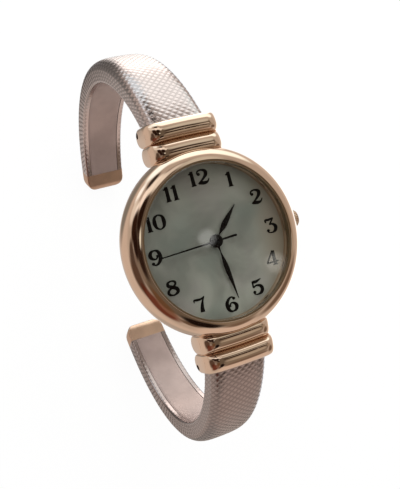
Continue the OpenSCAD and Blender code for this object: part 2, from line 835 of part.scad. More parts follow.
module sliding_pinion() {
  color("#a9adb2") on_stem(pinion_x) difference() {
    linear_extrude(pinion_l) gear_2d(14, 2 * pinion_ro / 15.6, 0);
    translate([-square_s / 2 - play, -square_s / 2 - play, -1])
      cube([square_s + 2 * play, square_s + 2 * play, 4]);
  }
}

module stem() {
  body_x = pinion_x + pinion_l + 0.1;
  color("#b4b8bc") {
    on_stem(stem_in) translate([-square_s / 2, -square_s / 2, 0])
      cube([square_s, square_s, body_x - stem_in + 0.1]);
    on_stem(body_x) difference() {
      cylinder(r = stem_r, h = crown_x + crown_l - stem_hold - body_x);
      translate([0, 0, groove_x - groove_w / 2 - body_x]) ring(groove_r, stem_r + 1, 0, groove_w);
    }
  }
}

module crown() {
  color("#d9ab86") on_stem(crown_x) difference() {
    rotate_extrude() polygon([
      [0, 0], [crown_r - 0.12, 0], [crown_r, 0.12], [crown_r, crown_l - 0.35],
      [crown_r - 0.2, crown_l - 0.08], [crown_r - 0.6, crown_l], [0, crown_l]
    ]);
    translate([0, 0, -1]) cylinder(r = tube_r + 0.1, h = 1 + skirt_l);
    cylinder(r = stem_r + press, h = crown_l - stem_hold);
    for (i = [0:crown_flutes - 1])
      rotate([0, 0, i * 360 / crown_flutes]) translate([crown_r + 0.04, 0, -1])
        cylinder(r = 0.13, h = crown_l + 0.55, $fn = 16);
  }
}

module crown_gasket() {
  color("#222222") on_stem(crown_x) ring(stem_r + 0.01, tube_r + 0.05, tube_out + seat, skirt_l - seat);
}

module crown_tube() {
  color("#c9a07c") on_stem(tube_in) difference() {
    cylinder(r = tube_r - press, h = crown_x + tube_out - tube_in);
    translate([0, 0, -1]) cylinder(r = stem_r + stem_play, h = far);
  }
}

// Cylinder on X with rounded ends
module pill(r, half, e) {
  rotate([0, 90, 0]) rotate_extrude() difference() {
    union() {
      translate([0, -half]) square([r - e, 2 * half]);
      translate([0, e - half]) square([r, 2 * (half - e)]);
      for (s = [-1, 1]) translate([r - e, s * (half - e)]) circle(r = e);
    }
    translate([-far, -far]) square([far, 2 * far]);
  }
}

// One upright rib with round top, round foot and rounded ends
module rib(y, z0, z1) {
  h = z1 - z0 - 2 * rib_r;
  e = rib_edge;
  translate([0, y, 0]) {
    translate([0, 0, z1 - rib_r]) pill(rib_r, half_l, e);
    translate([0, 0, z0 + rib_r]) pill(rib_r, half_l, e);
    translate([-half_l, e - rib_r, z0 + rib_r]) cube([2 * half_l, 2 * (rib_r - e), h]);
    translate([e - half_l, -rib_r, z0 + rib_r]) cube([2 * (half_l - e), 2 * rib_r, h]);
    for (sx = [-1, 1], sy = [-1, 1])
      translate([sx * (half_l - e), sy * (rib_r - e), z0 + rib_r]) cylinder(r = e, h = h);
  }
}

module end_link() {
  color("#d9ab86") {
    difference() {
      union() {
        rib(rib_y, -link_drop, link_top);
        rib(rib2_y, rib2_lift - link_drop, link_top);
        translate([-half_l + 1, rib2_y - 3.2, 0.6]) cube([2 * half_l - 2, 3.2, 3]);
      }
      rotate_extrude($fn = 128) flank_2d(link_gap);
      translate([0, 0, -far]) cylinder(r = back_r + link_gap, h = far + flank_z, $fn = 128);
      translate([-pocket_w / 2, pin_y - barrel_r - barrel_gap, -far])
        cube([pocket_w, far, far + hood_z]);
      translate([-far, pin_y, pin_z]) rotate([0, 90, 0]) cylinder(r = pin_r + press, h = 2 * far);
    }
    translate([-tenon_w / 2, tenon_y, tenon_z]) cube([tenon_w, rib2_y - tenon_y, tenon_t]);
  }
}

module hinge_pin() {
  reach = half_l - pin_recess;
  color("#a5a9ad") translate([-reach, pin_y, pin_z]) rotate([0, 90, 0])
    cylinder(r = pin_r, h = 2 * reach);
}

// Coil of round wire round the hinge pin
module hinge_spring() {
  wire = spring_wire;
  coil_mid = pin_r + 0.06 + wire;
  turns = 4;
  half = eye_w - 0.3;
  steps = turns * 8;
  color("#7c8085") translate([0, pin_y, pin_z])
    skin([
      for (i = [0:steps])
        let(a = i * 45, x = -half + 2 * half * i / steps)
          [
            for (j = [0:5])
              let(q = coil_mid + wire * cos(j * 60)) [x + wire * sin(j * 60), q * cos(a), q * sin(a)]
          ]
    ]);
}

// Barrel on the hinge pin with a tail that carries the core
module knuckle() {
  reach = norm([core_y - pin_y, oval_z(core_y, core_n) - pin_z]) - seat;
  tongue_in = 1.3;
  color("#b9bdc1") {
    for (s = [-1, 1])
      translate([s > 0 ? eye_w : -eye_out, pin_y, pin_z]) rotate([0, 90, 0]) difference() {
        cylinder(r = barrel_r, h = eye_out - eye_w);
        translate([0, 0, -1]) cylinder(r = pin_r + pin_play, h = eye_out + 2);
      }
    translate([0, pin_y, pin_z]) rotate([core_lean, 0, 0])
      difference() {
        translate([tongue_in - eye_out, 0, 0.05 - core_t / 2])
          cube([2 * (eye_out - tongue_in), reach, core_t - 0.1]);
        translate([-eye_w, -1, -5]) cube([2 * eye_w, 1 + barrel_r + 0.1, 10]);
        translate([-far, 0, 0]) rotate([0, 90, 0]) cylinder(r = pin_r + pin_play, h = 2 * far);
      }
  }
}

module core_strip() {
  n0 = core_n - core_t / 2;
  color("#9da2a6") skin([
    for (i = [0:arm_steps])
      let(
        s = i / arm_steps,
        t0 = oval_t(core_y, core_n),
        x = arm_width(t0 + (t_cap - t0) * s) / 2 - core_inset
      )
        layer_ring(box_outline(x, n0, n0 + core_t), core_y - core_k * core_n, core_k, t_cap, s)
  ]);
}

module filler() {
  n0 = core_n + core_t / 2 + seat;
  top = arm_t / 2 - cover_t - seat;
  color("#6d655f") skin([
    for (i = [0:arm_steps])
      let(
        s = i / arm_steps,
        t0 = oval_t(root_y, 0),
        x = arm_width(t0 + (t_cap - t0) * s) / 2 - cover_t - seat,
        h = (top - 0.1) * 0.98,
        side = [for (a = [0:18:90]) [0.99 * x * pow(cos(a), 0.55), 0.1 + h * pow(sin(a), 0.8)]],
        left = mirrored([for (j = [0:len(side) - 2]) side[j]]),
        foot = 0.97 * x,
        outline = concat([[foot, n0]], side, left, [[-foot, n0]])
      )
        layer_ring(outline, root_y + root_k * arm_t / 2, -root_k, t_cap, s)
  ]);
}

module cover() {
  color("#8f7c74") skin([
    for (i = [0:arm_steps])
      let(s = i / arm_steps, t0 = oval_t(root_y, 0), w = arm_width(t0 + (t_cap - t0) * s))
        layer_ring(cover_outline(w), root_y + root_k * arm_t / 2, -root_k, t_cap, s)
  ]);
}

module lining() {
  n0 = -arm_t / 2;
  start = core_y + seat;
  color("#7d6c66") skin([
    for (i = [0:arm_steps])
      let(
        s = i / arm_steps,
        t0 = oval_t(start, n0),
        x = arm_width(t0 + (t_cap - t0) * s) / 2 - lip_w - seat
      )
        layer_ring(box_outline(x, n0, n0 + lining_t), start, 0, t_cap, s)
  ]);
}

module tip_cap() {
  steps = 15;
  t0 = t_cap - 0.04;
  color("#d9ab86") skin([
    for (i = [0:steps])
      let(
        s = i / steps,
        late = max(0, (s - 0.6) / 0.4),
        round = sqrt(1 - 0.88 * late * late),
        w = arm_width(t_cap) + (arm_tip_w - arm_width(t_cap)) * s,
        half = half_outline(w, 0),
        count = len(half),
        right = [for (j = [1:count - 1]) half[j]],
        left = mirrored([for (j = [1:count - 2]) half[j]]),
        kx = 1.01 * (0.72 + 0.28 * round),
        kn = 0.3 + 0.7 * round
      )
        [for (p = concat(right, left)) arm_point(p[0] * kx, p[1] * kn, t0 + (t_tip - t0) * s)]
  ]);
}

module upper_end_link() { end_link(); }
module lower_end_link() { place_lower() end_link(); }
module upper_hinge_pin() { hinge_pin(); }
module lower_hinge_pin() { place_lower() hinge_pin(); }
module upper_hinge_spring() { hinge_spring(); }
module lower_hinge_spring() { place_lower() hinge_spring(); }
module upper_knuckle() { knuckle(); }
module lower_knuckle() { place_lower() knuckle(); }
module upper_core() { core_strip(); }
module lower_core() { place_lower() core_strip(); }
module upper_filler() { filler(); }
module lower_filler() { place_lower() filler(); }
module upper_cover() { cover(); }
module lower_cover() { place_lower() cover(); }
module upper_lining() { lining(); }
module lower_lining() { place_lower() lining(); }
module upper_tip_cap() { tip_cap(); }
module lower_tip_cap() { place_lower() tip_cap(); }

case();
case_back();
back_gasket();
crystal();
crystal_gasket();
dial_ring();
pearl_dial();
dial_blank();
dial_numerals();
hour_hand();
minute_hand();
seconds_hand();
movement_ring();
main_plate();
train_bridge();
bridge_screws();
stator();
coil();
coil_core();
circuit_board();
quartz_can();
battery();
battery_clip();
rotor();
intermediate_wheel();
seconds_wheel();
third_wheel();
centre_wheel();
minute_wheel();
hour_wheel();
setting_wheel();
setting_lever();
sliding_pinion();
stem();
crown();
crown_gasket();
crown_tube();
upper_end_link();
lower_end_link();
upper_hinge_pin();
lower_hinge_pin();
upper_hinge_spring();
lower_hinge_spring();
upper_knuckle();
lower_knuckle();
upper_core();
lower_core();
upper_filler();
lower_filler();
upper_cover();
lower_cover();
upper_lining();
lower_lining();
upper_tip_cap();
lower_tip_cap();
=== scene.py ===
"""Builds the visible surfaces of a bangle watch round its fixed frame, with its stage."""

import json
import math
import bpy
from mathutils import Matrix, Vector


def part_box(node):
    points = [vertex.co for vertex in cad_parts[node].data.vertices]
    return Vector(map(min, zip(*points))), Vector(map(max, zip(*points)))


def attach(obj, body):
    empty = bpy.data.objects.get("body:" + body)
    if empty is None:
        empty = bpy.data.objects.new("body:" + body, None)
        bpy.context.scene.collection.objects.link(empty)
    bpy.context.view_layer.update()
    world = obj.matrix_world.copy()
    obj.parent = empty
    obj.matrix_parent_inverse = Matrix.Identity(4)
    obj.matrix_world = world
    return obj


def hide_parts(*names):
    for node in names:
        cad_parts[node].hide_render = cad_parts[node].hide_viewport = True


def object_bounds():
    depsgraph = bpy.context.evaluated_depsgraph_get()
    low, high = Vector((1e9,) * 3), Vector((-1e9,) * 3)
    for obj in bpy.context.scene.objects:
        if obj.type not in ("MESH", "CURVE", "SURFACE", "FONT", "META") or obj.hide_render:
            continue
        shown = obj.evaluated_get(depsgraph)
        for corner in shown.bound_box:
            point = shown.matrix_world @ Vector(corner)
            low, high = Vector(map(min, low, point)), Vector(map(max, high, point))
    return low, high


bl_info = {
    "name": "Bangle Watch",
    "version": (1, 0, 0),
    "blender": (4, 5, 0),
    "location": "View3D > Sidebar > Watch",
    "description": "Builds the visible surfaces of a bangle watch round its fixed frame",
    "category": "Object",
}

import bmesh
import bpy
from bpy.props import FloatProperty, FloatVectorProperty, IntProperty, PointerProperty
from mathutils import Matrix, Vector

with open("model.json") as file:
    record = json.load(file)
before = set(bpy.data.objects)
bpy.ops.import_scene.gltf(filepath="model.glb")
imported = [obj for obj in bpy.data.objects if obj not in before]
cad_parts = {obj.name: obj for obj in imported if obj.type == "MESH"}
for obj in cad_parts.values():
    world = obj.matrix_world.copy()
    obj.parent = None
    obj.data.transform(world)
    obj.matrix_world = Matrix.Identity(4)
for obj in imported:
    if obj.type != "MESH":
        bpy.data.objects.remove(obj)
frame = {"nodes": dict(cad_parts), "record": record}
CAD_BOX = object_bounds()
MM = 0.001
TURN = 2 * math.pi
QUARTER = math.pi / 2


def span(node):
    """Lowest and highest corner of a frame node, in millimetres."""
    low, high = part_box(node)
    return low / MM, high / MM


CASE = span("case")
PEARL = span("pearl_dial")
CRYSTAL = span("crystal")
GOLD_RING = span("dial_ring")
FIGURES = span("dial_numerals")
HOUR = span("hour_hand")
MINUTE = span("minute_hand")
SECOND = span("seconds_hand")
CROWN = span("crown")
LINK = span("upper_end_link")
PIN = span("upper_hinge_pin")
PIN_Y = (PIN[0].y + PIN[1].y) / 2
PIN_Z = (PIN[0].z + PIN[1].z) / 2
SPRING = span("upper_hinge_spring")
SIDES = {"upper": 1, "lower": -1}


# Settings


def length(name, description, default):
    """A size in millimetres."""
    return FloatProperty(name=name, description=f"{description}, in mm", default=default)


def angle(name, description, degrees):
    return FloatProperty(name=name, description=description, subtype="ANGLE", default=math.radians(degrees))


def colour_of(name, description, default):
    return FloatVectorProperty(name=name, description=description, subtype="COLOR", default=default)


class CaseSettings(bpy.types.PropertyGroup):
    flank_r: length("Flank radius", "Radius of the half-round flank", 3.3)
    opening_r: length("Opening", "Radius of the bezel's opening", GOLD_RING[1].x + 0.02)
    ledge_r: length("Ledge", "Radius of the cavity under the ledge", PEARL[1].x + 0.1)
    edge: length("Edge", "Rounding of the bezel's inner edge", 0.06)
    bevel: length("Bevel", "Bevel round the crystal", 0.12)
    ring_w: length("Ring width", "Width of the gold ring round the dial", 0.45)
    gold: colour_of("Rose gold", "Colour of the polished plating", (0.80, 0.62, 0.49))
    segments: IntProperty(name="Segments", description="Steps round each turned piece", default=192)


class DialSettings(bpy.types.PropertyGroup):
    figure_h: length("Figure height", "Height of a figure", 2.5)
    figure_wide: FloatProperty(name="Figure width", description="Width of the figures for their height",
                               default=1.14)
    figure_r: length("Figure circle", "Radius of the figures' circle", 10.8)
    hole_r: length("Hole", "Radius of the hole for the hands", 0.83)
    pearl: colour_of("Pearl", "Main colour of the mother-of-pearl", (0.21, 0.205, 0.177))
    ink: colour_of("Ink", "Colour of the figures and hands", (0.0022, 0.0024, 0.0026))


class HandSettings(bpy.types.PropertyGroup):
    hour_turn: angle("Hour hand", "Turn from 12, clockwise", 44.37)
    minute_turn: angle("Minute hand", "Turn from 12, clockwise", 172.47)
    second_turn: angle("Seconds hand", "Turn from 12, clockwise", 268.2)
    hour_len: length("Hour length", "Length of the hour hand", 7.1)
    minute_len: length("Minute length", "Length of the minute hand", 10.2)
    second_len: length("Seconds length", "Length of the seconds hand", 10.3)
    tail_len: length("Tail length", "Length of the seconds hand's tail", 3.6)
    width: length("Width", "Widest part of the hour hand", 0.98)
    hour_boss: length("Hour boss", "Radius of the hour hand's boss", 1.1)
    minute_boss: length("Minute boss", "Radius of the minute hand's boss", 1.0)
    cap_r: length("Cap", "Radius of the seconds hand's cap", 1.05)


class CrownSettings(bpy.types.PropertyGroup):
    ribs: IntProperty(name="Ribs", description="Ribs round the crown", default=28)
    rib_r: length("Rib radius", "Radius of a rib", 0.11)
    hollow_r: length("Hollow", "Radius of the hollow that takes the crown's tube", 1.1)
    hollow_d: length("Hollow depth", "Depth of that hollow", 0.76)


class LinkSettings(bpy.types.PropertyGroup):
    rib_r: length("Rib radius", "Half width of a rib", 1.7)
    pitch: length("Rib pitch", "Distance between the ribs", 3.3)
    edge: length("Edge", "Rounding of the ribs' upright edges", 0.5)
    crest: length("Crest", "Rounding of the ribs' crest at their ends", 2.5)
    web: length("Web", "How far the web between the ribs lies inside", 0.6)
    bow: length("Bow", "How far the ribs bow outwards", 0.15)
    bulge: length("Bulge", "How far the ribs' end faces bulge", 0.06)
    lean: length("Lean", "How far the crests lie towards the case", 0.4)
    dome: length("Dome", "How far the crests rise towards the middle", 0.25)
    pocket_w: length("Pocket", "Width of the arm's pocket", 10.8)
    roof: length("Roof", "Thickness of the link over the arm's pocket", 1.9)


class ArmSettings(bpy.types.PropertyGroup):
    inner_w: length("Inner width", "Inner width of the bangle", 66.8)
    inner_h: length("Inner height", "Inner height of the full oval", 50.6)
    thick: length("Thickness", "Thickness of an arm", 4.32)
    root_w: length("Root width", "Width of an arm at its root", 10.5)
    tip_w: length("Tip width", "Width of an arm at its tip", 8.1)
    root_z: length("Root height", "Height of the middle line at the link", 0.2)
    tip_gap: length("Tip gap", "Gap between the middle lines' ends", 31.8)
    cap_l: length("Cap length", "Length of the gold tip cap", 4.2)
    cap_plan: length("Cap corner", "Rounding of the cap seen from above", 2.4)
    cap_edge: length("Cap edge", "Rounding of the cap's thickness", 1.6)
    pitch: length("Emboss pitch", "Distance between the pressed lines", 0.8)
    depth: length("Emboss depth", "Depth of the pressed lines", 0.06)
    taupe: colour_of("Taupe", "Colour of the embossed cover", (0.49, 0.41, 0.395))


class StageSettings(bpy.types.PropertyGroup):
    azimuth: angle("Azimuth", "Where the camera stands, from +X", 173.32)
    elevation: angle("Elevation", "How high the camera stands", 66.75)
    roll: angle("Roll", "The camera's turn about its view", -14.69)
    distance: length("Distance", "Camera's distance", 138.95)
    aim: FloatVectorProperty(name="Aim", description="Shift right, shift up and height of the aim, in mm",
                             default=(0.52, 0.259, -0.703))
    lens: FloatProperty(name="Lens", description="Focal length, in mm", default=59.95)


def settings(name):
    return getattr(bpy.context.scene, "watch_" + name)


# Nodes


class Signal:
    """A shader socket that takes part in Python arithmetic: each operation adds a Math node."""

    def __init__(self, net, socket):
        self.net = net
        self.socket = socket

    def maths(self, operation, *values):
        return self.net.add("ShaderNodeMath", {"operation": operation}, dict(enumerate(values)))

    def __add__(self, other):
        return self.maths("ADD", self, other)

    def __radd__(self, other):
        return self.maths("ADD", other, self)

    def __mul__(self, other):
        return self.maths("MULTIPLY", self, other)

    def __rmul__(self, other):
        return self.maths("MULTIPLY", other, self)

    def __pow__(self, other):
        return self.maths("POWER", self, other)

    def step(self, low, high):
        """0 below low, 1 above high and smooth between them."""
        inputs = {"Value": self, "From Min": low, "From Max": high}
        return self.net.add("ShaderNodeMapRange", {"interpolation_type": "SMOOTHSTEP"}, inputs)


def add_node(tree, kind, options, inputs):
    """Adds a node, sets its options first, and then links or fills its sockets."""
    node = tree.nodes.new(kind)
    for name, value in (options or {}).items():
        setattr(node, name, value)
    for name, value in (inputs or {}).items():
        socket = node.inputs[name]
        if isinstance(value, Signal):
            value = value.socket
        if isinstance(value, bpy.types.NodeSocket):
            tree.links.new(value, socket)
        elif socket.type == "RGBA":
            socket.default_value = (*value[:3], 1)
        else:
            socket.default_value = value
    return node


class Net:
    """The node tree of one material or of the world."""

    def __init__(self, tree):
        self.tree = tree
        tree.nodes.clear()

    def add(self, kind, options=None, inputs=None, out=0):
        """Adds a node and returns one of its outputs."""
        node = add_node(self.tree, kind, options, inputs)
        return Signal(self, node.outputs[out]) if len(node.outputs) else None

    def place(self, scale=(1, 1, 1)):
        """Object coordinates in millimetres, stretched by scale."""
        here = self.add("ShaderNodeTexCoord", out="Object")
        size = tuple(s / MM for s in scale)
        return self.add("ShaderNodeMapping", None, {"Vector": here, "Scale": size})

    def axis(self, vector, letter):
        """One coordinate of a vector."""
        return self.add("ShaderNodeSeparateXYZ", None, {"Vector": vector}, out=letter)

    def noise(self, vector, scale, detail=2.0, roughness=0.5, distortion=0.0):
        inputs = {"Vector": vector, "Scale": scale, "Detail": detail, "Roughness": roughness,
                  "Distortion": distortion}
        return self.add("ShaderNodeTexNoise", None, inputs)

    def mix(self, factor, a, b, mode="MIX"):
        """Mixes two colours."""
        options = {"data_type": "RGBA", "blend_type": mode}
        return self.add("ShaderNodeMix", options, {0: factor, 6: a, 7: b}, out=2)

    def bump(self, height, distance, strength):
        inputs = {"Height": height, "Distance": distance * MM, "Strength": strength}
        return self.add("ShaderNodeBump", None, inputs)

    def surface(self, **sockets):
        """A Principled shader: a socket's name has its spaces as underscores."""
        inputs = {name.replace("_", " "): value for name, value in sockets.items()}
        return self.add("ShaderNodeBsdfPrincipled", None, inputs)

    def blend(self, factor, a, b):
        """Mixes two shaders."""
        return self.add("ShaderNodeMixShader", None, {0: factor, 1: a, 2: b})


# Finishes


def times(colour, *factors):
    """A colour whose parts are multiplied by one factor, or by one each."""
    if len(factors) == 1:
        factors *= 3
    return [part * factor for part, factor in zip(colour, factors)]


def material(name, build, *values):
    """The material of that name, built once by build(net, *values)."""
    found = bpy.data.materials.get(name)
    if found:
        return found
    made = bpy.data.materials.new(name)
    made.use_nodes = True
    net = Net(made.node_tree)
    net.add("ShaderNodeOutputMaterial", None, {"Surface": build(net, *values)})
    return made


def polished(net, colour):
    """Plating buffed to a mirror, with faint haze and hairlines."""
    haze = net.noise(net.place(), 0.35, 3)
    hairs = net.noise(net.place((9, 0.7, 9)), 1.5, 2)
    tone = net.mix(haze.step(0.35, 0.7), times(colour, 0.97), colour)
    rough = 0.05 + haze.step(0.4, 0.8) * 0.03 + hairs.step(0.55, 0.75) * 0.02
    return net.surface(Base_Color=tone, Metallic=1.0, Roughness=rough, Normal=net.bump(hairs, 0.004, 0.25))


def grained(net, colour, cloud, dark, grain, rough, spread, bump, **more):
    """A finish darkened by its clouds, and roughened and embossed by its grain."""
    tone = net.mix(cloud.step(0.3, 0.7), times(colour, dark), colour)
    return net.surface(Base_Color=tone, Roughness=rough + grain * spread,
                       Normal=net.bump(grain, *bump), **more)


def satin(net, colour):
    """Plating left matt, for the tip caps."""
    here = net.place()
    haze = net.noise(here, 0.5, 3)
    grain = net.noise(here, 7.0, 2)
    return grained(net, colour, haze, 0.88, grain, 0.34, 0.1, (0.01, 0.3), Metallic=1.0)


def brushed(net, colour, rough=0.28):
    """Steel with fine lines across X."""
    lines = net.noise(net.place((0.4, 14, 14)), 1.2, 4, 0.7)
    return grained(net, colour, lines, 0.86, lines, rough, 0.12, (0.01, 0.4), Metallic=1.0)


def turned(net, colour, rough=0.22):
    """Metal turned on a lathe: rings round the hands' axis."""
    here = net.place()
    x, y = net.axis(here, "X"), net.axis(here, "Y")
    radius = (x * x + y * y) ** 0.5
    rings = net.add("ShaderNodeCombineXYZ", None, {"X": radius * 9})
    lines = net.noise(rings, 1.0, 4, 0.65)
    return grained(net, colour, lines, 0.88, lines, rough, 0.14, (0.008, 0.5), Metallic=1.0)


def moulded(net, colour, rough=0.5):
    """Plastic or rubber with a fine grain."""
    here = net.place()
    grain = net.noise(here, 6.0, 3)
    cloud = net.noise(here, 0.4, 2)
    return grained(net, colour, cloud, 0.9, grain, rough, 0.1, (0.02, 0.4))


def lacquered(net, colour, rough=0.25, gloss=0.02):
    """Black print or lacquer, with a gloss of its own."""
    grain = net.noise(net.place(), 3.0, 2)
    tone = net.mix(grain.step(0.4, 0.7), colour, times(colour, 1.8))
    return net.surface(Base_Color=tone, Roughness=rough + grain * 0.08, Specular_IOR_Level=gloss,
                       Normal=net.bump(grain, 0.01, 0.3))


def pearl(net, colour):
    """Mother-of-pearl: clouds, faint growth lines and a shift between green and rose, with a painted warm
    reflection towards 3 o'clock, a painted bezel shadow towards 12 and painted light towards 6.
    """
    here = net.place()
    x, y = net.axis(here, "X"), net.axis(here, "Y")
    cloud = net.noise(here, 0.11, 3, 0.55, 0.6)
    veins = net.noise(net.place((0.35, 1.1, 1)), 0.5, 3, 0.6, 1.2)
    shift = net.noise(here, 0.16, 1)
    tone = net.mix(cloud.step(0.3, 0.72), times(colour, 0.76), times(colour, 1.36))
    tone = net.mix(shift.step(0.52, 0.75) * 0.35, tone, times(colour, 1.3, 1.08, 1.25))
    tone = net.mix(shift.step(0.5, 0.25) * 0.35, tone, times(colour, 0.9, 1.12, 1.12))
    tone = net.mix(veins.step(0.55, 0.8) * 0.22, tone, times(colour, 1.5))
    # Painted reflection: a warm bronze tint towards 3 o'clock, where the gold ring mirrors in the dial
    tone = net.mix(x.step(6, 12) * cloud.step(0.2, 0.6), tone, times(colour, 1.05, 0.86, 0.74))
    # Painted shadow of the bezel, darker towards 12, and painted light, lighter towards 6
    shade = net.mix(y.step(14, 3), (0.58, 0.55, 0.51), (0.88, 0.88, 0.88))
    shade = net.mix(y.step(2, -12), shade, (1.2, 1.2, 1.2))
    tone = net.mix(1.0, tone, shade, "MULTIPLY")
    return net.surface(Base_Color=tone, Roughness=0.32 + veins * 0.12, Normal=net.bump(veins, 0.02, 0.3),
                       Coat_Weight=0.3, Coat_Roughness=0.15)


def crystal(net):
    """Clear mineral glass: it lets light straight through and mirrors at a slant."""
    clear = net.add("ShaderNodeBsdfTransparent", None, {"Color": (0.97, 0.985, 0.975)})
    gloss = net.surface(Base_Color=(1, 1, 1), Metallic=1.0, Roughness=0.02)
    facing = net.add("ShaderNodeLayerWeight", None, {"Blend": 0.5}, out="Facing")
    return net.blend(facing ** 5 * 0.96 + 0.04, clear, gloss)


def embossed(net, colour):
    """Pressed metallic foil with a soft satin sheen: painted shade in the pressed lines leaves the raised
    lozenges brighter, and painted light makes the upper arm lighter and the lower arm and the upper arm's
    outer bend darker.
    """
    here = net.place()
    y = net.axis(here, "Y")
    cloud = net.noise(here, 0.16, 3)
    grain = net.noise(here, 9.0, 2)
    raised = net.add("ShaderNodeAttribute", {"attribute_name": "relief"}, out="Fac")
    tone = net.mix(cloud.step(0.3, 0.7), times(colour, 0.92), times(colour, 1.05))
    # Painted shade: the pressed lines take half the colour
    tone = net.mix(raised, times(colour, 0.5), tone)
    # Painted light and shade: the upper arm lighter, the lower arm and the upper arm's outer bend darker
    shade = net.mix(y.step(-14, 14), (0.8, 0.8, 0.8), (1.28, 1.33, 1.35))
    shade = net.mix(y.step(30, 37), shade, (0.85, 0.85, 0.85))
    tone = net.mix(1.0, tone, shade, "MULTIPLY")
    return net.surface(Base_Color=tone, Metallic=1.0, Roughness=0.15 + grain * 0.06,
                       Normal=net.bump(grain, 0.012, 0.35))


def lining(net, colour):
    """Smooth lining with a leather-like grain."""
    here = net.place()
    grain = net.add("ShaderNodeTexVoronoi", {"feature": "SMOOTH_F1"}, {"Vector": here, "Scale": 3.2})
    cloud = net.noise(here, 0.2, 3)
    tone = net.mix(cloud.step(0.3, 0.75), times(colour, 0.86), times(colour, 1.08))
    return net.surface(Base_Color=tone, Metallic=0.6, Roughness=0.36 + cloud * 0.12,
                       Normal=net.bump(grain, 0.02, 0.5))


def wound(net, colour):
    """Enamelled wire laid turn by turn, with painted shade in the grooves between the turns."""
    wire = net.add("ShaderNodeTexWave", {"bands_direction": "X"}, {"Vector": net.place(), "Scale": 2.5})
    # Painted shade: the wire is darker in the grooves between its turns
    tone = net.mix(wire, times(colour, 0.6), colour)
    return net.surface(Base_Color=tone, Metallic=0.7, Roughness=0.3 + wire * 0.1,
                       Normal=net.bump(wire, 0.03, 0.6))


def board(net, colour):
    """Lacquered circuit board with copper tracks."""
    tracks = net.add("ShaderNodeTexBrick", None, {
        "Vector": net.place(), "Scale": 1.2, "Mortar Size": 0.04, "Color1": colour,
        "Color2": times(colour, 0.9), "Mortar": (0.5, 0.4, 0.16)})
    grain = net.noise(net.place(), 5.0)
    return net.surface(Base_Color=tracks, Roughness=0.35 + grain * 0.1)


def finishes():
    """The material for each of the record's slots, and those of the lacquered hands and of the hinge pins,
    painted near black as the shade in their holes.
    """
    gold = tuple(settings("case").gold)
    shell = tuple(settings("dial").pearl)
    ink = tuple(settings("dial").ink)
    taupe = tuple(settings("arm").taupe)
    steel = (0.56, 0.57, 0.59)
    recipes = {
        "rose_gold": ("rose_gold_plating", polished, gold),
        "satin_copper": ("satin_copper", satin, (0.66, 0.46, 0.34)),
        "steel_back": ("brushed_back", turned, steel, 0.2),
        "steel": ("machined_steel", brushed, steel),
        "motor_steel": ("soft_iron", brushed, (0.45, 0.46, 0.48), 0.4),
        "copper_wire": ("copper_winding", wound, (0.6, 0.25, 0.1)),
        "brass": ("train_brass", turned, (0.72, 0.55, 0.27)),
        "plate": ("moulded_plate", moulded, (0.55, 0.5, 0.4)),
        "circuit": ("circuit_lacquer", board, (0.03, 0.16, 0.06)),
        "cell": ("bright_nickel", brushed, (0.66, 0.65, 0.62), 0.16),
        "rubber": ("black_rubber", moulded, (0.015, 0.015, 0.015), 0.65),
        "gasket": ("bronze_nylon", moulded, (0.1, 0.058, 0.024), 0.35),
        "glass": ("mineral_crystal", crystal),
        "pearl": ("mother_of_pearl", pearl, shell),
        "black_print": ("printed_black", lacquered, ink),
        "black_lacquer": ("black_lacquer", lacquered, ink, 0.1, 0.12),
        # The hinge pins are painted near black, as the shade in their holes
        "pin_hole_shade": ("blackened_pin", brushed, (0.03, 0.02, 0.013), 0.3),
        "embossed": ("embossed_taupe", embossed, taupe),
        "lining": ("smooth_lining", lining, (0.42, 0.325, 0.3)),
        "filler": ("arm_filler", moulded, (0.14, 0.12, 0.1)),
    }
    ready = {slot: material(*recipe) for slot, recipe in recipes.items()}
    # The springs and cores keep the frame's own plain finish
    ready["spring_steel"] = bpy.data.materials["spring_steel"]
    return ready


# Mesh making


def finish_mesh(mesh, sharp):
    """Merges doubles, turns faces outwards, and shades smooth but for edges over sharp degrees."""
    work = bmesh.new()
    work.from_mesh(mesh)
    bmesh.ops.remove_doubles(work, verts=work.verts, dist=1e-7)
    bmesh.ops.recalc_face_normals(work, faces=work.faces)
    limit = math.radians(sharp)
    for face in work.faces:
        face.smooth = True
    for edge in work.edges:
        edge.smooth = len(edge.link_faces) == 2 and edge.calc_face_angle(0) < limit
    work.to_mesh(mesh)
    work.free()


def make(name, points, faces, finish, sharp=35, relief=None):
    """A mesh piece from points in millimetres, in the frame's own place; relief gives each point a value."""
    mesh = bpy.data.meshes.new(name)
    mesh.from_pydata([Vector(p) * MM for p in points], [], faces)
    if relief:
        mesh.attributes.new("relief", "FLOAT", "POINT").data.foreach_set("value", relief)
    finish_mesh(mesh, sharp)
    mesh.materials.append(finish)
    piece = bpy.data.objects.new(name, mesh)
    bpy.context.scene.collection.objects.link(piece)
    return piece


def settle(piece, body, slot, *nodes):
    """Rides the piece on its body and hides the nodes it stands for; its slot is not used."""
    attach(piece, body)
    if nodes:
        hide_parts(*nodes)


def bake(piece, sharp):
    """Turns the piece's modifiers into plain mesh."""
    bpy.context.view_layer.update()
    graph = bpy.context.evaluated_depsgraph_get()
    done = bpy.data.meshes.new_from_object(piece.evaluated_get(graph), depsgraph=graph)
    piece.modifiers.clear()
    piece.data = done
    finish_mesh(done, sharp)


def cut(piece, cutters):
    """Takes the cutters' space out of the piece and removes the cutters."""
    for cutter in cutters:
        knife = piece.modifiers.new("cut", "BOOLEAN")
        knife.operation = "DIFFERENCE"
        knife.solver = "EXACT"
        knife.object = cutter
    bake(piece, 35)
    for cutter in cutters:
        bpy.data.objects.remove(cutter)


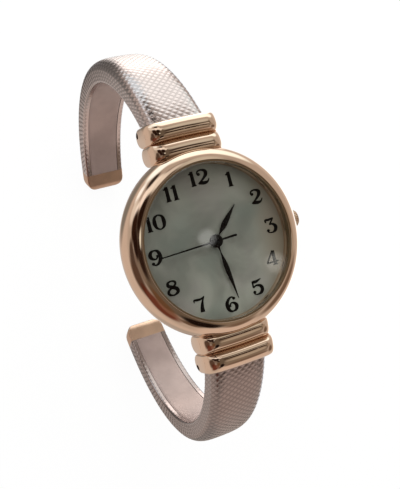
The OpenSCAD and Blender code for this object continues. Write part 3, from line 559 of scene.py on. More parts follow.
def arc(centre, radius, start, end, steps):
    """Points on an arc, from start to end degrees."""
    turns = [math.radians(start + (end - start) * i / steps) for i in range(steps + 1)]
    return [(centre[0] + radius * math.cos(t), centre[1] + radius * math.sin(t)) for t in turns]


def bridge(rings, count, closed=False):
    """Faces between rings of count points each; closed joins the last ring to the first."""
    faces = []
    for i in range(rings if closed else rings - 1):
        a, b = i * count, (i + 1) % rings * count
        for j in range(count):
            k = (j + 1) % count
            faces.append((a + j, a + k, b + k, b + j))
    return faces


def loft(rings):
    """Points and faces of a closed solid through the rings, which have the same number of points."""
    count = len(rings[0])
    points = [p for ring in rings for p in ring]
    faces = bridge(len(rings), count)
    faces.append(tuple(range(count - 1, -1, -1)))
    faces.append(tuple(range(len(points) - count, len(points))))
    return points, faces


def gather(solids):
    """Joins (points, faces) pairs into one."""
    points, faces = [], []
    for more_points, more_faces in solids:
        base = len(points)
        points += more_points
        faces += [tuple(base + i for i in face) for face in more_faces]
    return points, faces


def turn_profile(profile, steps):
    """Points and faces of a closed profile (radius, height) turned about Z."""
    points = []
    for i in range(steps):
        a = TURN * i / steps
        points += [(r * math.cos(a), r * math.sin(a), z) for r, z in profile]
    return points, bridge(steps, len(profile), True)


def turned_piece(name, profile, finish, sharp=35):
    return make(name, *turn_profile(profile, settings("case").segments), finish, sharp)


def along_x(solid, height):
    """Lays a solid about Z along X instead, about the line y = 0, z = height."""
    points, faces = solid
    return [(z, y, height - x) for x, y, z in points], faces


# Geometry Nodes


class Grower:
    """A geometry node tree with named inputs, applied to a new object."""

    def __init__(self, name):
        self.tree = bpy.data.node_groups.new(name, "GeometryNodeTree")
        face = self.tree.interface
        face.new_socket("Geometry", in_out="INPUT", socket_type="NodeSocketGeometry")
        face.new_socket("Geometry", in_out="OUTPUT", socket_type="NodeSocketGeometry")
        self.start = self.tree.nodes.new("NodeGroupInput")
        self.end = self.tree.nodes.new("NodeGroupOutput")
        self.values = {}

    def size(self, name, value):
        """A named input of the tree, as a float or a whole number."""
        kind = "NodeSocketInt" if isinstance(value, int) else "NodeSocketFloat"
        socket = self.tree.interface.new_socket(name, in_out="INPUT", socket_type=kind)
        self.values[socket.identifier] = value
        return self.start.outputs[name]

    def add(self, kind, inputs):
        return add_node(self.tree, kind, None, inputs).outputs[0]

    def lay(self, shape, start):
        """Turns a shape from Z to X and moves it to start, in millimetres."""
        inputs = {"Geometry": shape, "Rotation": (0, QUARTER, 0), "Translation": Vector(start) * MM}
        return self.add("GeometryNodeTransform", inputs)

    def grow(self, name, shape, finish, sharp=35):
        """Ends the tree with real geometry and a material, and returns it as a plain mesh piece."""
        real = self.add("GeometryNodeRealizeInstances", {"Geometry": shape})
        done = self.add("GeometryNodeSetMaterial", {"Geometry": real, "Material": finish})
        self.tree.links.new(done, self.end.inputs[0])
        piece = bpy.data.objects.new(name, bpy.data.meshes.new(name))
        bpy.context.scene.collection.objects.link(piece)
        grown = piece.modifiers.new("grow", "NODES")
        grown.node_group = self.tree
        for identifier, value in self.values.items():
            grown[identifier] = value
        bake(piece, sharp)
        return piece


def grow_spring(name, finish, start, run, radius, wire, turns):
    """A coil of round wire whose axis runs along X from start."""
    g = Grower(name)
    steps = g.size("Turns", float(turns))
    height = g.size("Length", run * MM)
    coil_r = g.size("Coil radius", radius * MM)
    wire_r = g.size("Wire radius", wire * MM)
    spiral = g.add("GeometryNodeCurveSpiral", {"Resolution": 24, "Rotations": steps, "Start Radius": coil_r,
                                               "End Radius": coil_r, "Height": height})
    round_wire = g.add("GeometryNodeCurvePrimitiveCircle", {"Resolution": 10, "Radius": wire_r})
    tube = g.add("GeometryNodeCurveToMesh", {"Curve": spiral, "Profile Curve": round_wire, "Fill Caps": True})
    return g.grow(name, g.lay(tube, start), finish, 60)


# Case

DIAL_GAP = 0.02


def case_profile():
    """Outline of the case's ring: half-round flank, bezel opening, dial ledge and cavity."""
    s = settings("case")
    outer, lip, rim = CASE[1].x, CASE[1].z, CASE[0].z
    middle = outer - s.flank_r
    level = lip - math.sqrt(s.flank_r ** 2 - (s.opening_r - middle) ** 2)
    low = math.degrees(math.asin((rim - level) / s.flank_r))
    high = math.degrees(math.acos((s.opening_r + s.edge - middle) / s.flank_r))
    flank = arc((middle, level), s.flank_r, low, high, 56)
    ledge = PEARL[1].z + DIAL_GAP
    inside = [(s.opening_r + s.edge / 3, lip - s.edge / 2), (s.opening_r, lip - s.edge * 1.5)]
    inside += [(s.opening_r, ledge), (s.ledge_r, ledge), (s.ledge_r, rim)]
    return flank + inside


class WATCH_OT_case(bpy.types.Operator):
    """Turn the case with its polished bezel, and sink the crown's pocket into it"""

    bl_idname = "watch.case"
    bl_label = "Case"

    def execute(self, context):
        gold = finishes()["rose_gold"]
        around, behind, depth = 0.12, 0.1, 3
        shell = turned_piece("case_shell", case_profile(), gold)
        middle = (CROWN[0].z + CROWN[1].z) / 2
        radius = (CROWN[1].z - CROWN[0].z) / 2 + around
        foot = CROWN[0].x - behind
        outline = [(0, foot), (radius, foot), (radius, foot + depth), (0, foot + depth)]
        pocket = make("crown_pocket", *along_x(turn_profile(outline, 64), middle), gold)
        cut(shell, [pocket])
        settle(shell, "watch_head", "rose_gold", "case")
        return {"FINISHED"}


class WATCH_OT_crystal(bpy.types.Operator):
    """Turn the crystal and the gold ring that frames the dial"""

    bl_idname = "watch.crystal"
    bl_label = "Crystal and ring"

    def execute(self, context):
        s = settings("case")
        ready = finishes()
        low, high = CRYSTAL
        edge, top = high.x, high.z
        glass = [(0, low.z), (edge, low.z), (edge, top - s.bevel), (edge - s.bevel, top), (0, top)]
        disc = turned_piece("crystal_disc", glass, ready["glass"], 20)
        settle(disc, "watch_head", "glass", "crystal")
        low, high = GOLD_RING
        flat, step, foot = 0.1, 0.03, 0.06
        inner = high.x - s.ring_w
        ring = [(inner, low.z), (high.x, low.z), (high.x, high.z), (high.x - flat, high.z)]
        ring += [(high.x - flat - step, high.z - step), (inner, low.z + foot)]
        settle(turned_piece("gold_ring", ring, ready["rose_gold"]), "watch_head", "rose_gold", "dial_ring")
        return {"FINISHED"}


# Dial

# The figures' strokes are drawn by PEN wider than their widths, and never thinner than HAIR
PEN = 1.18
HAIR = 0.02
THICK = 0.2
THIN = 0.075
# Strokes of each figure on a box 1 high: a list of (x, y, width) along each pen line
FIGURE_STROKES = {
    0: [[(0.4, 0.97, THIN), (0.17, 0.82, 0.14), (0.11, 0.5, THICK), (0.17, 0.18, 0.14), (0.4, 0.03, THIN),
         (0.63, 0.18, 0.14), (0.69, 0.5, THICK), (0.63, 0.82, 0.14), (0.4, 0.97, THIN)]],
    1: [[(0.24, 0, 0.2), (0.24, 0.99, 0.17)], [(0.3, 0.95, 0.08), (0.17, 0.86, 0.12), (0.03, 0.82, 0.05)],
        [(0.08, 0.03, 0.06), (0.4, 0.03, 0.06)]],
    2: [[(0.09, 0.72, 0.06), (0.17, 0.9, 0.09), (0.4, 0.96, 0.1), (0.64, 0.84, 0.18), (0.64, 0.62, 0.19),
         (0.46, 0.4, 0.13), (0.22, 0.2, 0.09), (0.08, 0.08, 0.08)],
        [(0.06, 0.1, 0.08), (0.22, 0.12, 0.19), (0.48, 0.08, 0.18), (0.68, 0.14, 0.1), (0.8, 0.32, 0.04)]],
    3: [[(0.1, 0.74, 0.06), (0.11, 0.92, 0.12), (0.34, 0.91, 0.13), (0.64, 0.97, 0.07)],
        [(0.64, 0.97, 0.07), (0.47, 0.76, 0.09), (0.32, 0.58, 0.08)],
        [(0.3, 0.57, 0.06), (0.52, 0.57, 0.12), (0.69, 0.36, THICK), (0.6, 0.1, 0.17), (0.36, 0.02, 0.08),
         (0.16, 0.08, 0.07), (0.1, 0.2, 0.05)]],
    4: [[(0.56, 0.99, 0.09), (0.06, 0.26, 0.08)], [(0.03, 0.23, 0.1), (0.82, 0.23, 0.1)],
        [(0.57, 0, 0.18), (0.57, 0.99, 0.18)], [(0.4, 0.03, 0.06), (0.74, 0.03, 0.06)]],
    5: [[(0.16, 0.9, 0.16), (0.4, 0.88, 0.17), (0.74, 1.0, 0.04)], [(0.16, 0.95, 0.1), (0.13, 0.52, 0.08)],
        [(0.13, 0.5, 0.07), (0.34, 0.62, 0.1), (0.6, 0.54, 0.17), (0.69, 0.32, THICK), (0.58, 0.09, 0.17),
         (0.34, 0.02, 0.09), (0.15, 0.08, 0.07), (0.08, 0.2, 0.06)]],
    6: [[(0.66, 0.86, 0.07), (0.5, 0.96, 0.09), (0.3, 0.88, 0.14), (0.13, 0.62, 0.19), (0.13, 0.3, 0.19),
         (0.24, 0.08, 0.14), (0.42, 0.02, 0.08)],
        [(0.3, 0.34, 0.1), (0.3, 0.48, 0.09), (0.42, 0.59, 0.08), (0.62, 0.5, 0.15), (0.7, 0.3, THICK),
         (0.6, 0.08, 0.15), (0.4, 0.02, 0.08)]],
    7: [[(0.06, 0.72, 0.04), (0.08, 0.88, 0.1), (0.28, 0.86, 0.14), (0.5, 0.86, 0.11), (0.74, 0.98, 0.05)],
        [(0.74, 0.98, 0.05), (0.58, 0.7, 0.1), (0.48, 0.36, 0.18), (0.44, 0, 0.24)]],
    8: [[(0.4, 0.97, 0.08), (0.2, 0.88, 0.13), (0.18, 0.7, 0.17), (0.4, 0.55, 0.19), (0.64, 0.4, 0.2),
         (0.67, 0.18, 0.17), (0.4, 0.03, 0.09), (0.14, 0.14, 0.14), (0.14, 0.36, 0.13), (0.4, 0.54, 0.09),
         (0.62, 0.7, 0.11), (0.6, 0.88, 0.12), (0.4, 0.97, 0.08)]],
}
# The middle of the round blob that ends one stroke of a figure
FIGURE_DOTS = {2: (0.19, 0.7), 3: (0.15, 0.2), 5: (0.15, 0.21), 6: (0.62, 0.84)}
# How wide a figure is for its height
FIGURE_W = {1: 0.48}
PLAIN_W = 0.8
DOT_R = 0.1


def smooth_line(knots, steps=7):
    """Points of a smooth line through the knots, each with three values."""
    knots = [Vector(k) for k in knots]
    if len(knots) == 2:
        return knots
    ends = [knots[0] * 2 - knots[1]] + knots + [knots[-1] * 2 - knots[-2]]
    line = []
    for a, b, c, d in zip(ends, ends[1:], ends[2:], ends[3:]):
        for i in range(steps):
            t = i / steps
            line.append(0.5 * (2 * b + (c - a) * t + (2 * a - 5 * b + 4 * c - d) * t * t
                               + (3 * b - a - 3 * c + d) * t ** 3))
    return line + [knots[-1]]


def ribbon(knots):
    """Both edges of a pen line of changing width."""
    line = smooth_line(knots)
    left, right = [], []
    for i, p in enumerate(line):
        ahead = line[min(i + 1, len(line) - 1)] - line[max(i - 1, 0)]
        side = Vector((-ahead.y, ahead.x)).normalized() * max(p.z * PEN, HAIR) / 2
        left.append((p.x + side.x, p.y + side.y))
        right.append((p.x - side.x, p.y - side.y))
    return left, right


def figure_parts(digit):
    """Flat pieces of one figure, each as two matching edges; a 9 is a 6 turned round."""
    if digit == 9:
        return [[[(PLAIN_W - x, 1 - y) for x, y in edge] for edge in part] for part in figure_parts(6)]
    parts = [ribbon(stroke) for stroke in FIGURE_STROKES[digit]]
    if digit in FIGURE_DOTS:
        middle = FIGURE_DOTS[digit]
        rim = arc(middle, DOT_R, 90, 270, 8)
        parts.append((rim, [(2 * middle[0] - x, y) for x, y in rim]))
    return parts


def prism(edges, corner, wide, tall):
    """Points and faces of a flat piece between two edges, placed by its corner and raised as the print is."""
    low, high = FIGURES[0].z, FIGURES[1].z
    rings = []
    for pair in zip(*edges):
        a, b = [(corner[0] + x * wide, corner[1] + y * tall) for x, y in pair]
        rings.append([(*a, low), (*b, low), (*b, high), (*a, high)])
    return loft(rings)


def figures():
    """Points and faces of all twelve hour figures."""
    s = settings("dial")
    wide, tall = s.figure_h * s.figure_wide, s.figure_h
    solids = []
    for hour in range(1, 13):
        digits = [hour] if hour < 10 else [1, hour - 10]
        widths = [FIGURE_W.get(d, PLAIN_W) for d in digits]
        turn = TURN * hour / 12
        left = s.figure_r * math.sin(turn) - sum(widths) / 2 * wide
        foot = s.figure_r * math.cos(turn) - tall / 2
        for digit, width in zip(digits, widths):
            solids += [prism(part, (left, foot), wide, tall) for part in figure_parts(digit)]
            left += width * wide
    return gather(solids)


class WATCH_OT_dial(bpy.types.Operator):
    """Make the mother-of-pearl disc and its printed figures"""

    bl_idname = "watch.dial"
    bl_label = "Dial"

    def execute(self, context):
        ready = finishes()
        low, high = PEARL
        hole = settings("dial").hole_r
        edge = 0.03
        disc = [(hole, low.z), (high.x, low.z), (high.x, high.z)]
        disc += [(hole + edge, high.z), (hole, high.z - edge)]
        settle(turned_piece("pearl_disc", disc, ready["pearl"]), "watch_head", "pearl", "pearl_dial")
        printed = make("hour_figures", *figures(), ready["black_print"])
        settle(printed, "watch_head", "black_print", "dial_numerals")
        return {"FINISHED"}


# Hands

# A hand's neck: its half width, and the share of the hand's length that it takes
NECK = 0.2
NECK_END = 0.1
# Past the neck: share of the hand's length, and half width as a share of the leaf's widest
LEAF_SHAPE = ((0.2, 0.22), (0.34, 0.72), (0.46, 1), (0.6, 0.88), (0.78, 0.5), (0.92, 0.26), (1, 0.12))
# The leaf's thickness at its edge, its flat ridge's share of its width, and the half width of its point
LEAF_EDGE = 0.04
LEAF_RIDGE = 0.12
LEAF_POINT = 0.03
# The minute hand's width for the hour hand's
MINUTE_SHARE = 0.84
HOUR_BORE = 0.69
MINUTE_BORE = 0.39


def leaf(long, width, low, high):
    """A leaf-shaped blade along +Y with a raised middle line."""
    knots = [(0.0, NECK, 0.0), (NECK_END * long, NECK, 0.0)]
    knots += [(t * long, w * width / 2, 0.0) for t, w in LEAF_SHAPE]
    rings = []
    for p in smooth_line(knots, 6):
        y, half = p.x, max(p.y, LEAF_POINT)
        ridge, edge = half * LEAF_RIDGE, low + LEAF_EDGE
        rings.append([(-half, y, low), (half, y, low), (half, y, edge), (ridge, y, high), (-ridge, y, high),
                      (-half, y, edge)])
    return loft(rings)


def bar(stations, low, high):
    """A flat bar along Y through stations of (y, half width)."""
    return loft([[(-w, y, low), (w, y, low), (w, y, high), (-w, y, high)] for y, w in stations])


def boss(radius, low, high, bore):
    """The round middle of a hand, with its bore."""
    edge = min(LEAF_EDGE, (high - low) / 3)
    profile = [(bore, low), (radius, low), (radius, high - edge), (radius - edge, high), (bore, high)]
    return turn_profile(profile, 64)


def cap(radius, low, high):
    """The domed cap over the hands' centre."""
    side, round_low, round_high = 0.1, 0.05, 0.25
    profile = [(0, low), (radius, low), (radius, low + side), (radius - round_low, low + side + round_low),
               (radius - round_high, high - 0.02), (radius - round_high * 2, high), (0, high)]
    return turn_profile(profile, 64)


def hand(name, solids, turn, body, node):
    """Makes a hand of its solids, turned clockwise about the hands' axis."""
    points, faces = gather(solids)
    c, s = math.cos(turn), math.sin(turn)
    points = [(x * c + y * s, y * c - x * s, z) for x, y, z in points]
    settle(make(name, points, faces, finishes()["black_lacquer"]), body, "black_print", node)


class WATCH_OT_hands(bpy.types.Operator):
    """Make the leaf-shaped hands and the domed cap over their centre"""

    bl_idname = "watch.hands"
    bl_label = "Hands"

    def execute(self, context):
        s = settings("hands")
        low, high = HOUR[0].z, HOUR[1].z
        solids = [leaf(s.hour_len, s.width, low, high), boss(s.hour_boss, low, high, HOUR_BORE)]
        hand("hour_leaf", solids, s.hour_turn, "hours", "hour_hand")
        low, high = MINUTE[0].z, MINUTE[1].z
        wide = s.width * MINUTE_SHARE
        solids = [leaf(s.minute_len, wide, low, high), boss(s.minute_boss, low, high, MINUTE_BORE)]
        hand("minute_leaf", solids, s.minute_turn, "minutes", "minute_hand")
        low, top = SECOND[0].z, SECOND[1].z
        thick, tail_end = 0.12, 0.18
        blade = [(0, 0.16), (s.second_len * 0.5, 0.13), (s.second_len, 0.1)]
        tail = [(0, 0.14), (-s.tail_len, 0.19), (-s.tail_len - tail_end, 0.08)]
        solids = [bar(blade, low, low + thick), bar(tail, low, low + thick), cap(s.cap_r, low, top)]
        hand("seconds_needle", solids, s.second_turn, "seconds", "seconds_hand")
        return {"FINISHED"}


# Crown

# The crown's rounded end: how far each point lies inside its radius and behind its face
CROWN_END = ((0.03, 0.32), (0.1, 0.18), (0.35, 0.06))


class WATCH_OT_crown(bpy.types.Operator):
    """Turn the crown and set its ribs round it"""

    bl_idname = "watch.crown"
    bl_label = "Crown"

    def execute(self, context):
        s = settings("crown")
        gold = finishes()["rose_gold"]
        level = (CROWN[0].z + CROWN[1].z) / 2
        radius = (CROWN[1].z - CROWN[0].z) / 2
        foot, top = CROWN[0].x, CROWN[1].x
        core, ribs_r = radius - 0.14, radius - 0.12
        collar, head = 0.34, 0.38
        bore, wall = 0.5, 0.3
        hollow = foot + s.hollow_d
        profile = [(bore, hollow), (s.hollow_r, hollow), (s.hollow_r, foot)]
        profile += [(core, foot), (core, top - collar)]
        profile += [(radius - inside, top - behind) for inside, behind in CROWN_END]
        profile += [(radius * 0.5, top), (0, top), (0, top - wall), (bore, top - wall)]
        body = make("crown_body", *along_x(turn_profile(profile, 96), level), gold)
        settle(body, "crown", "rose_gold", "crown")
        g = Grower("crown_ribs")
        count = g.size("Ribs", s.ribs)
        ring_r = g.size("Ring radius", ribs_r * MM)
        rib_r = g.size("Rib radius", s.rib_r * MM)
        run = g.size("Rib length", (top - foot - head) * MM)
        ring = g.add("GeometryNodeMeshCircle", {"Vertices": count, "Radius": ring_r})
        rod = g.add("GeometryNodeMeshCylinder", {"Vertices": 10, "Side Segments": 1, "Radius": rib_r,
                                                 "Depth": run})
        rods = g.add("GeometryNodeInstanceOnPoints", {"Points": ring, "Instance": rod})
        laid = g.lay(rods, ((foot + top - head) / 2, 0, level))
        settle(g.grow("crown_ribs", laid, gold), "crown", "rose_gold")
        return {"FINISHED"}


# End links

# The most that a crest may fall at its ends, as a share of its rounding
STEEPEST = 0.88


def quarter(radius, steps):
    """Distances from an end at which the even steps of a quarter round of that radius lie."""
    return {radius * (1 - math.cos(QUARTER * k / steps)) for k in range(steps + 1)}


def rounding(radius, left):
    """How far a quarter round of that radius falls back, left millimetres before its end."""
    return radius - math.sqrt(max(0.0, radius ** 2 - max(0.0, radius - left) ** 2))


def rib(middle, low, high, side):
    """Points and faces of one bowed rib along X: its crest falls in a wide round at both ends."""
    s = settings("link")
    half = LINK[1].x
    lefts = sorted(quarter(s.crest, 18) | quarter(s.edge, 9))
    flat = half - lefts[-1]
    stations = [(-half + left, left) for left in lefts]
    stations += [(flat * (k / 8 - 1), s.crest) for k in range(1, 16)]
    stations += [(half - left, left) for left in reversed(lefts)]
    rings = []
    for x, left in stations:
        fall = min(rounding(s.crest, left), s.crest * STEEPEST)
        r = s.rib_r - rounding(s.edge, left)
        tall = s.rib_r * (1 - 0.5 * fall / s.crest)
        bent = (x / half) ** 2
        y = middle - s.bow * bent
        level = high - s.dome * bent - fall - tall
        slip = s.lean * r / s.rib_r
        top = [(y - slip + px * (1 + math.copysign(slip, px) / r), level + pz * tall / r)
               for px, pz in arc((0, 0), r, 0, 180, 28)]
        outline = top + arc((y, low + s.rib_r), r, 180, 360, 16)
        rings.append([(x * (half - s.bulge) / half, side * py, pz) for py, pz in outline])
    return loft(bulged(rings[0], s.bulge) + rings + bulged(rings[-1], s.bulge)[::-1])


def bulged(ring, height):
    """Smaller and smaller copies of an end ring that stand out from it like a shallow dome."""
    middle_y = sum(p[1] for p in ring) / len(ring)
    middle_z = (min(p[2] for p in ring) + max(p[2] for p in ring)) / 2
    away = math.copysign(height, ring[0][0])
    return [[(x + away * (1 - k * k), middle_y + (y - middle_y) * k, middle_z + (z - middle_z) * k)
             for x, y, z in ring] for k in (0.1, 0.25, 0.4, 0.55, 0.7, 0.85)]


def box_solid(low, high, side):
    """Points and faces of a box between two corners, mirrored in Y for the lower side."""
    xs, ys, zs = zip(low, high)
    ring = [(xs[0], zs[0]), (xs[1], zs[0]), (xs[1], zs[1]), (xs[0], zs[1])]
    return loft([[(x, side * y, z) for x, z in ring] for y in ys])


def cross_rod(radius, half, side):
    """Points and faces of a round rod along X in the place of a hinge pin."""
    ring = arc((PIN_Y, PIN_Z), radius, 0, 360, 40)[:-1]
    return loft([[(x, side * py, pz) for py, pz in ring] for x in (-half, half)])


class WATCH_OT_links(bpy.types.Operator):
    """Make the two ribbed end links, hollowed for the arms and drilled for the hinge pins"""

    bl_idname = "watch.links"
    bl_label = "End links"

    def execute(self, context):
        s = settings("link")
        gold = finishes()["rose_gold"]
        half, foot, top = LINK[1].x, LINK[0].z, LINK[1].z
        outer = LINK[1].y - s.rib_r
        inner = outer - s.pitch
        past, knuckle, lift, pin_gap = 5, 1.25, 0.45, 0.03
        pin_r = (PIN[1].z - PIN[0].z) / 2 + pin_gap
        web_foot, web_back, web_top = 1.3, 1.2, 2.4
        pocket_low = (-s.pocket_w / 2, PIN_Y - knuckle, foot - past)
        pocket_high = (s.pocket_w / 2, outer + past, top - s.roof)
        web_low = (s.web - half, inner, foot + web_foot)
        web_high = (half - s.web, outer - web_back, top - web_top)
        for name, side in SIDES.items():
            front = make(f"{name}_hood_rib", *rib(outer, foot, top, side), gold)
            pocket = make("pocket", *box_solid(pocket_low, pocket_high, side), gold)
            drill = make("drill", *cross_rod(pin_r, half + 1, side), gold)
            cut(front, [pocket, drill])
            settle(front, "watch_head", "rose_gold", f"{name}_end_link")
            solids = [rib(inner, foot + lift, top, side), box_solid(web_low, web_high, side)]
            back = make(f"{name}_case_rib", *gather(solids), gold)
            settle(back, "watch_head", "rose_gold")
        return {"FINISHED"}


# Arms

# How far an arm's root lies inside its link, and how much its face leans there
ROOT_IN = 0.35
ROOT_LEAN = 0.16
# The cap's share of the oval is a little longer than its length, because the oval bends in there
CAP_STRETCH = 1.02
# The arm's section: its lips, corners, and the height and powers of its swell
LIP_W = 1.1
CORNER_R = 0.42
SHOULDER = 0.15
SIDE_POWER = 0.55
SWELL_POWER = 0.8
SKIN_T = 0.6
LINING_T = 0.5
# How far outside the link's face the lining starts
LINING_START = 1.62
# The line round the cover's outside, and the mesh lines between two pressed lines
COVER_W = 15.8
LATTICE = 6


class Oval:
    """An arm's middle line and its places along and round it."""

    def __init__(self, side):
        s = settings("arm")
        self.side = side
        self.a = (s.inner_w + s.thick) / 2
        self.b = (s.inner_h + s.thick) / 2
        self.link_y = LINK[1].y
        self.c = s.root_z - self.b * math.sqrt(1 - (self.link_y / self.a) ** 2)
        self.root = math.acos((self.link_y - ROOT_IN) / self.a)
        self.tip = -math.acos(s.tip_gap / 2 / self.a)
        self.cap = self.tip + s.cap_l / self.a * CAP_STRETCH
        self.half = s.thick / 2

    def angle(self, y, n):
        """The angle of the place n outside the middle line and y from the middle."""
        return math.acos(y / (self.a + n))

    def point(self, x, n, t):
        """The place x across, n outside the middle line, at angle t."""
        return (x, self.side * (self.a + n) * math.cos(t), self.c + (self.b + n) * math.sin(t))

    def leaning(self, x, n, t, share):
        """The same, moved towards the link's leaning face by share."""
        start = self.angle(self.link_y - ROOT_IN + ROOT_LEAN * (self.half - n), n)
        return self.point(x, n, t + (start - self.root) * share)

    def speed(self, t):
        """Millimetres along the middle line for each radian, at angle t."""
        return math.hypot(self.a * math.sin(t), self.b * math.cos(t))

    def width(self, t):
        s = settings("arm")
        return s.root_w + (s.tip_w - s.root_w) * (self.root - t) / (self.root - self.tip)

    def stations(self, start, end, step):
        """Angles from start to end, about step millimetres apart along the line."""
        fine = 4000
        lengths = [0.0]
        for i in range(fine):
            t = start + (end - start) * (i + 0.5) / fine
            lengths.append(lengths[-1] + self.speed(t) * abs(end - start) / fine)
        count = max(2, round(lengths[-1] / step))
        found = []
        i = 0
        for k in range(count + 1):
            goal = lengths[-1] * k / count
            while i < fine and lengths[i + 1] < goal:
                i += 1
            found.append(start + (end - start) * i / fine)
        found[-1] = end
        return found


def section(w, half, inset=0.0, steps=24):
    """Right half of an arm's outline, from its lip round to the crown, as (x, n)."""
    x, h = w / 2 - inset, half - inset
    low = -half + inset
    points = [(w / 2 - LIP_W, low)]
    points += arc((x - CORNER_R, low + CORNER_R), CORNER_R, -90, 0, 5)
    for i in range(steps):
        a = QUARTER * i / steps
        swell = math.sin(a) ** SWELL_POWER
        points.append((x * math.cos(a) ** SIDE_POWER, SHOULDER + (h - SHOULDER) * swell))
    return points + [(0.0, h)]


def mirrored(points):
    """A line that ends on the middle, with its mirror image after it."""
    return points + [(-x, n) for x, n in reversed(points[:-1])]


def even(points, count):
    """The same line through count + 1 evenly spaced points."""
    lengths = [0.0]
    for a, b in zip(points, points[1:]):
        lengths.append(lengths[-1] + math.dist(a, b))
    result = []
    i = 0
    for k in range(count + 1):
        goal = lengths[-1] * k / count
        while i < len(points) - 2 and lengths[i + 1] < goal:
            i += 1
        part = (goal - lengths[i]) / max(lengths[i + 1] - lengths[i], 1e-9)
        result.append(tuple(p + (q - p) * part for p, q in zip(points[i], points[i + 1])))
    return result


def normals(points):
    """Outward directions of a line that runs from the right lip round to the crown and on."""
    result = []
    for i in range(len(points)):
        a, b = points[max(i - 1, 0)], points[min(i + 1, len(points) - 1)]
        dx, dn = b[0] - a[0], b[1] - a[1]
        size = math.hypot(dx, dn) or 1
        result.append((dn / size, -dx / size))
    return result


def relief(i, j):
    """0 in the pressed lines and 1 on the raised lozenges, for row i and column j."""
    lines = [(i + j) % LATTICE, (i - j) % LATTICE]
    near = min(min(k, LATTICE - k) for k in lines)
    return (0.0, 0.8, 1.0, 1.0)[near]


def embossed_cover(name, oval, finish):
    """C-shaped cover whose outside carries the pressed lines, which fade out at its edges."""
    s = settings("arm")
    step = s.pitch * math.sqrt(2) / LATTICE
    rows = oval.stations(oval.root, oval.cap, step)
    last = len(rows) - 1
    columns = 2 * round(COVER_W / 2 / step)
    fade_rows, fade_columns = 3, 6
    rings, raised = [], []
    for i, t in enumerate(rows):
        w = oval.width(t)
        share = 1 - i / last
        outside = even(mirrored(section(w, oval.half)), columns)
        inside = even(section(w, oval.half, SKIN_T, 8), 10)
        inside = [(-x, n) for x, n in inside] + inside[-2::-1]
        ends = min(1.0, min(i, last - i) / fade_rows)
        ring = []
        for j, ((x, n), (ux, un)) in enumerate(zip(outside, normals(outside))):
            edge = min(1.0, min(j, columns - j) / fade_columns) * ends
            pressed = (1 - relief(i, j - columns // 2)) * edge
            sink = s.depth * pressed
            ring.append(oval.leaning(x - ux * sink, n - un * sink, t, share))
            raised.append(1 - pressed)
        ring += [oval.leaning(x, n, t, share) for x, n in inside]
        raised += [1.0] * len(inside)
        rings.append(ring)
    piece = make(f"{name}_embossed_cover", *loft(rings), finish, 60, raised)
    settle(piece, f"{name}_arm", "embossed", f"{name}_cover")


def smooth_lining(name, oval, finish):
    """Smooth strip inside the arm, softly rounded along its edges."""
    low = -oval.half
    edge, gap = 0.14, 0.02
    rings = []
    for t in oval.stations(oval.angle(oval.link_y + LINING_START, low), oval.cap, 0.6):
        x = oval.width(t) / 2 - LIP_W - gap
        right = [(x, low + LINING_T), (x, low + edge), (x - edge * 0.4, low + edge * 0.3)]
        right += [(x - edge, low + 0.01), (x * 0.8, low), (x * 0.4, low), (0, low)]
        rings.append([oval.point(px, n, t) for px, n in mirrored(right)])
    piece = make(f"{name}_smooth_lining", *loft(rings), finish, 50)
    settle(piece, f"{name}_arm", "lining", f"{name}_lining")


def gold_cap(name, oval, finish):
    """Satin cap, rounded in plan and in thickness."""
    s = settings("arm")
    speed = oval.speed(oval.tip)
    nose = oval.tip + s.cap_plan / speed
    overlap, blunt = 0.0005, 0.97
    turns = oval.stations(oval.cap - overlap, nose, 0.2)[:-1]
    turns += [nose - s.cap_plan * math.sin(math.radians(5 * k)) / speed for k in range(19)]
    rings = []
    for t in turns:
        left = (t - oval.tip) * speed
        w = oval.width(t)
        kx = 1 - rounding(s.cap_plan, left) / (w / 2) * blunt
        kn = 1 - rounding(s.cap_edge, left) / oval.half * blunt
        outline = mirrored(section(w, oval.half)[1:])
        rings.append([oval.point(x * kx, n * kn, t) for x, n in outline])
    piece = make(f"{name}_gold_cap", *loft(rings), finish, 50)
    settle(piece, f"{name}_arm", "rose_gold", f"{name}_tip_cap")


class WATCH_OT_arms(bpy.types.Operator):
    """Make the embossed covers, the smooth linings and the gold tip caps of both arms"""

    bl_idname = "watch.arms"
    bl_label = "Arms"

    def execute(self, context):
        ready = finishes()
        for name, side in SIDES.items():
            oval = Oval(side)
            embossed_cover(name, oval, ready["embossed"])
            smooth_lining(name, oval, ready["lining"])
            gold_cap(name, oval, ready["satin_copper"])
        return {"FINISHED"}


# Hinges


class WATCH_OT_hinges(bpy.types.Operator):
    """Wind the hinge springs round their pins"""

    bl_idname = "watch.hinges"
    bl_label = "Hinges"

    def execute(self, context):
        finish = finishes()["spring_steel"]
        wire, turns = 0.13, 8
        radius = (SPRING[1].z - SPRING[0].z) / 2 - wire
        run = SPRING[1].x - SPRING[0].x - 2 * wire
        for name, side in SIDES.items():
            start = (-run / 2, side * PIN_Y, PIN_Z)
            spring = grow_spring(f"{name}_wound_spring", finish, start, run, radius, wire, turns)
            settle(spring, "watch_head", "spring_steel", f"{name}_hinge_spring")
        return {"FINISHED"}


# Frame finishes


class WATCH_OT_frame_finishes(bpy.types.Operator):
    """Give every frame node the finish of its slot"""

    bl_idname = "watch.frame_finishes"
    bl_label = "Frame finishes"

    def execute(self, context):
        ready = finishes()
        for entry in frame["record"]["subparts"]:
            name = entry["node"]
            # The hinge pins take the near-black finish that paints the shade in their holes
            slot = "pin_hole_shade" if name.endswith("hinge_pin") else entry["material_slot"]
            node = frame["nodes"][name]
            node.data.materials.clear()
            node.data.materials.append(ready[slot])
        return {"FINISHED"}


# Stage

# The soft box's place and width, in millimetres, and its power in watts
SOFT_BOX = (40, 320, 190)
SOFT_BOX_W = 350
SOFT_BOX_POWER = 1.0
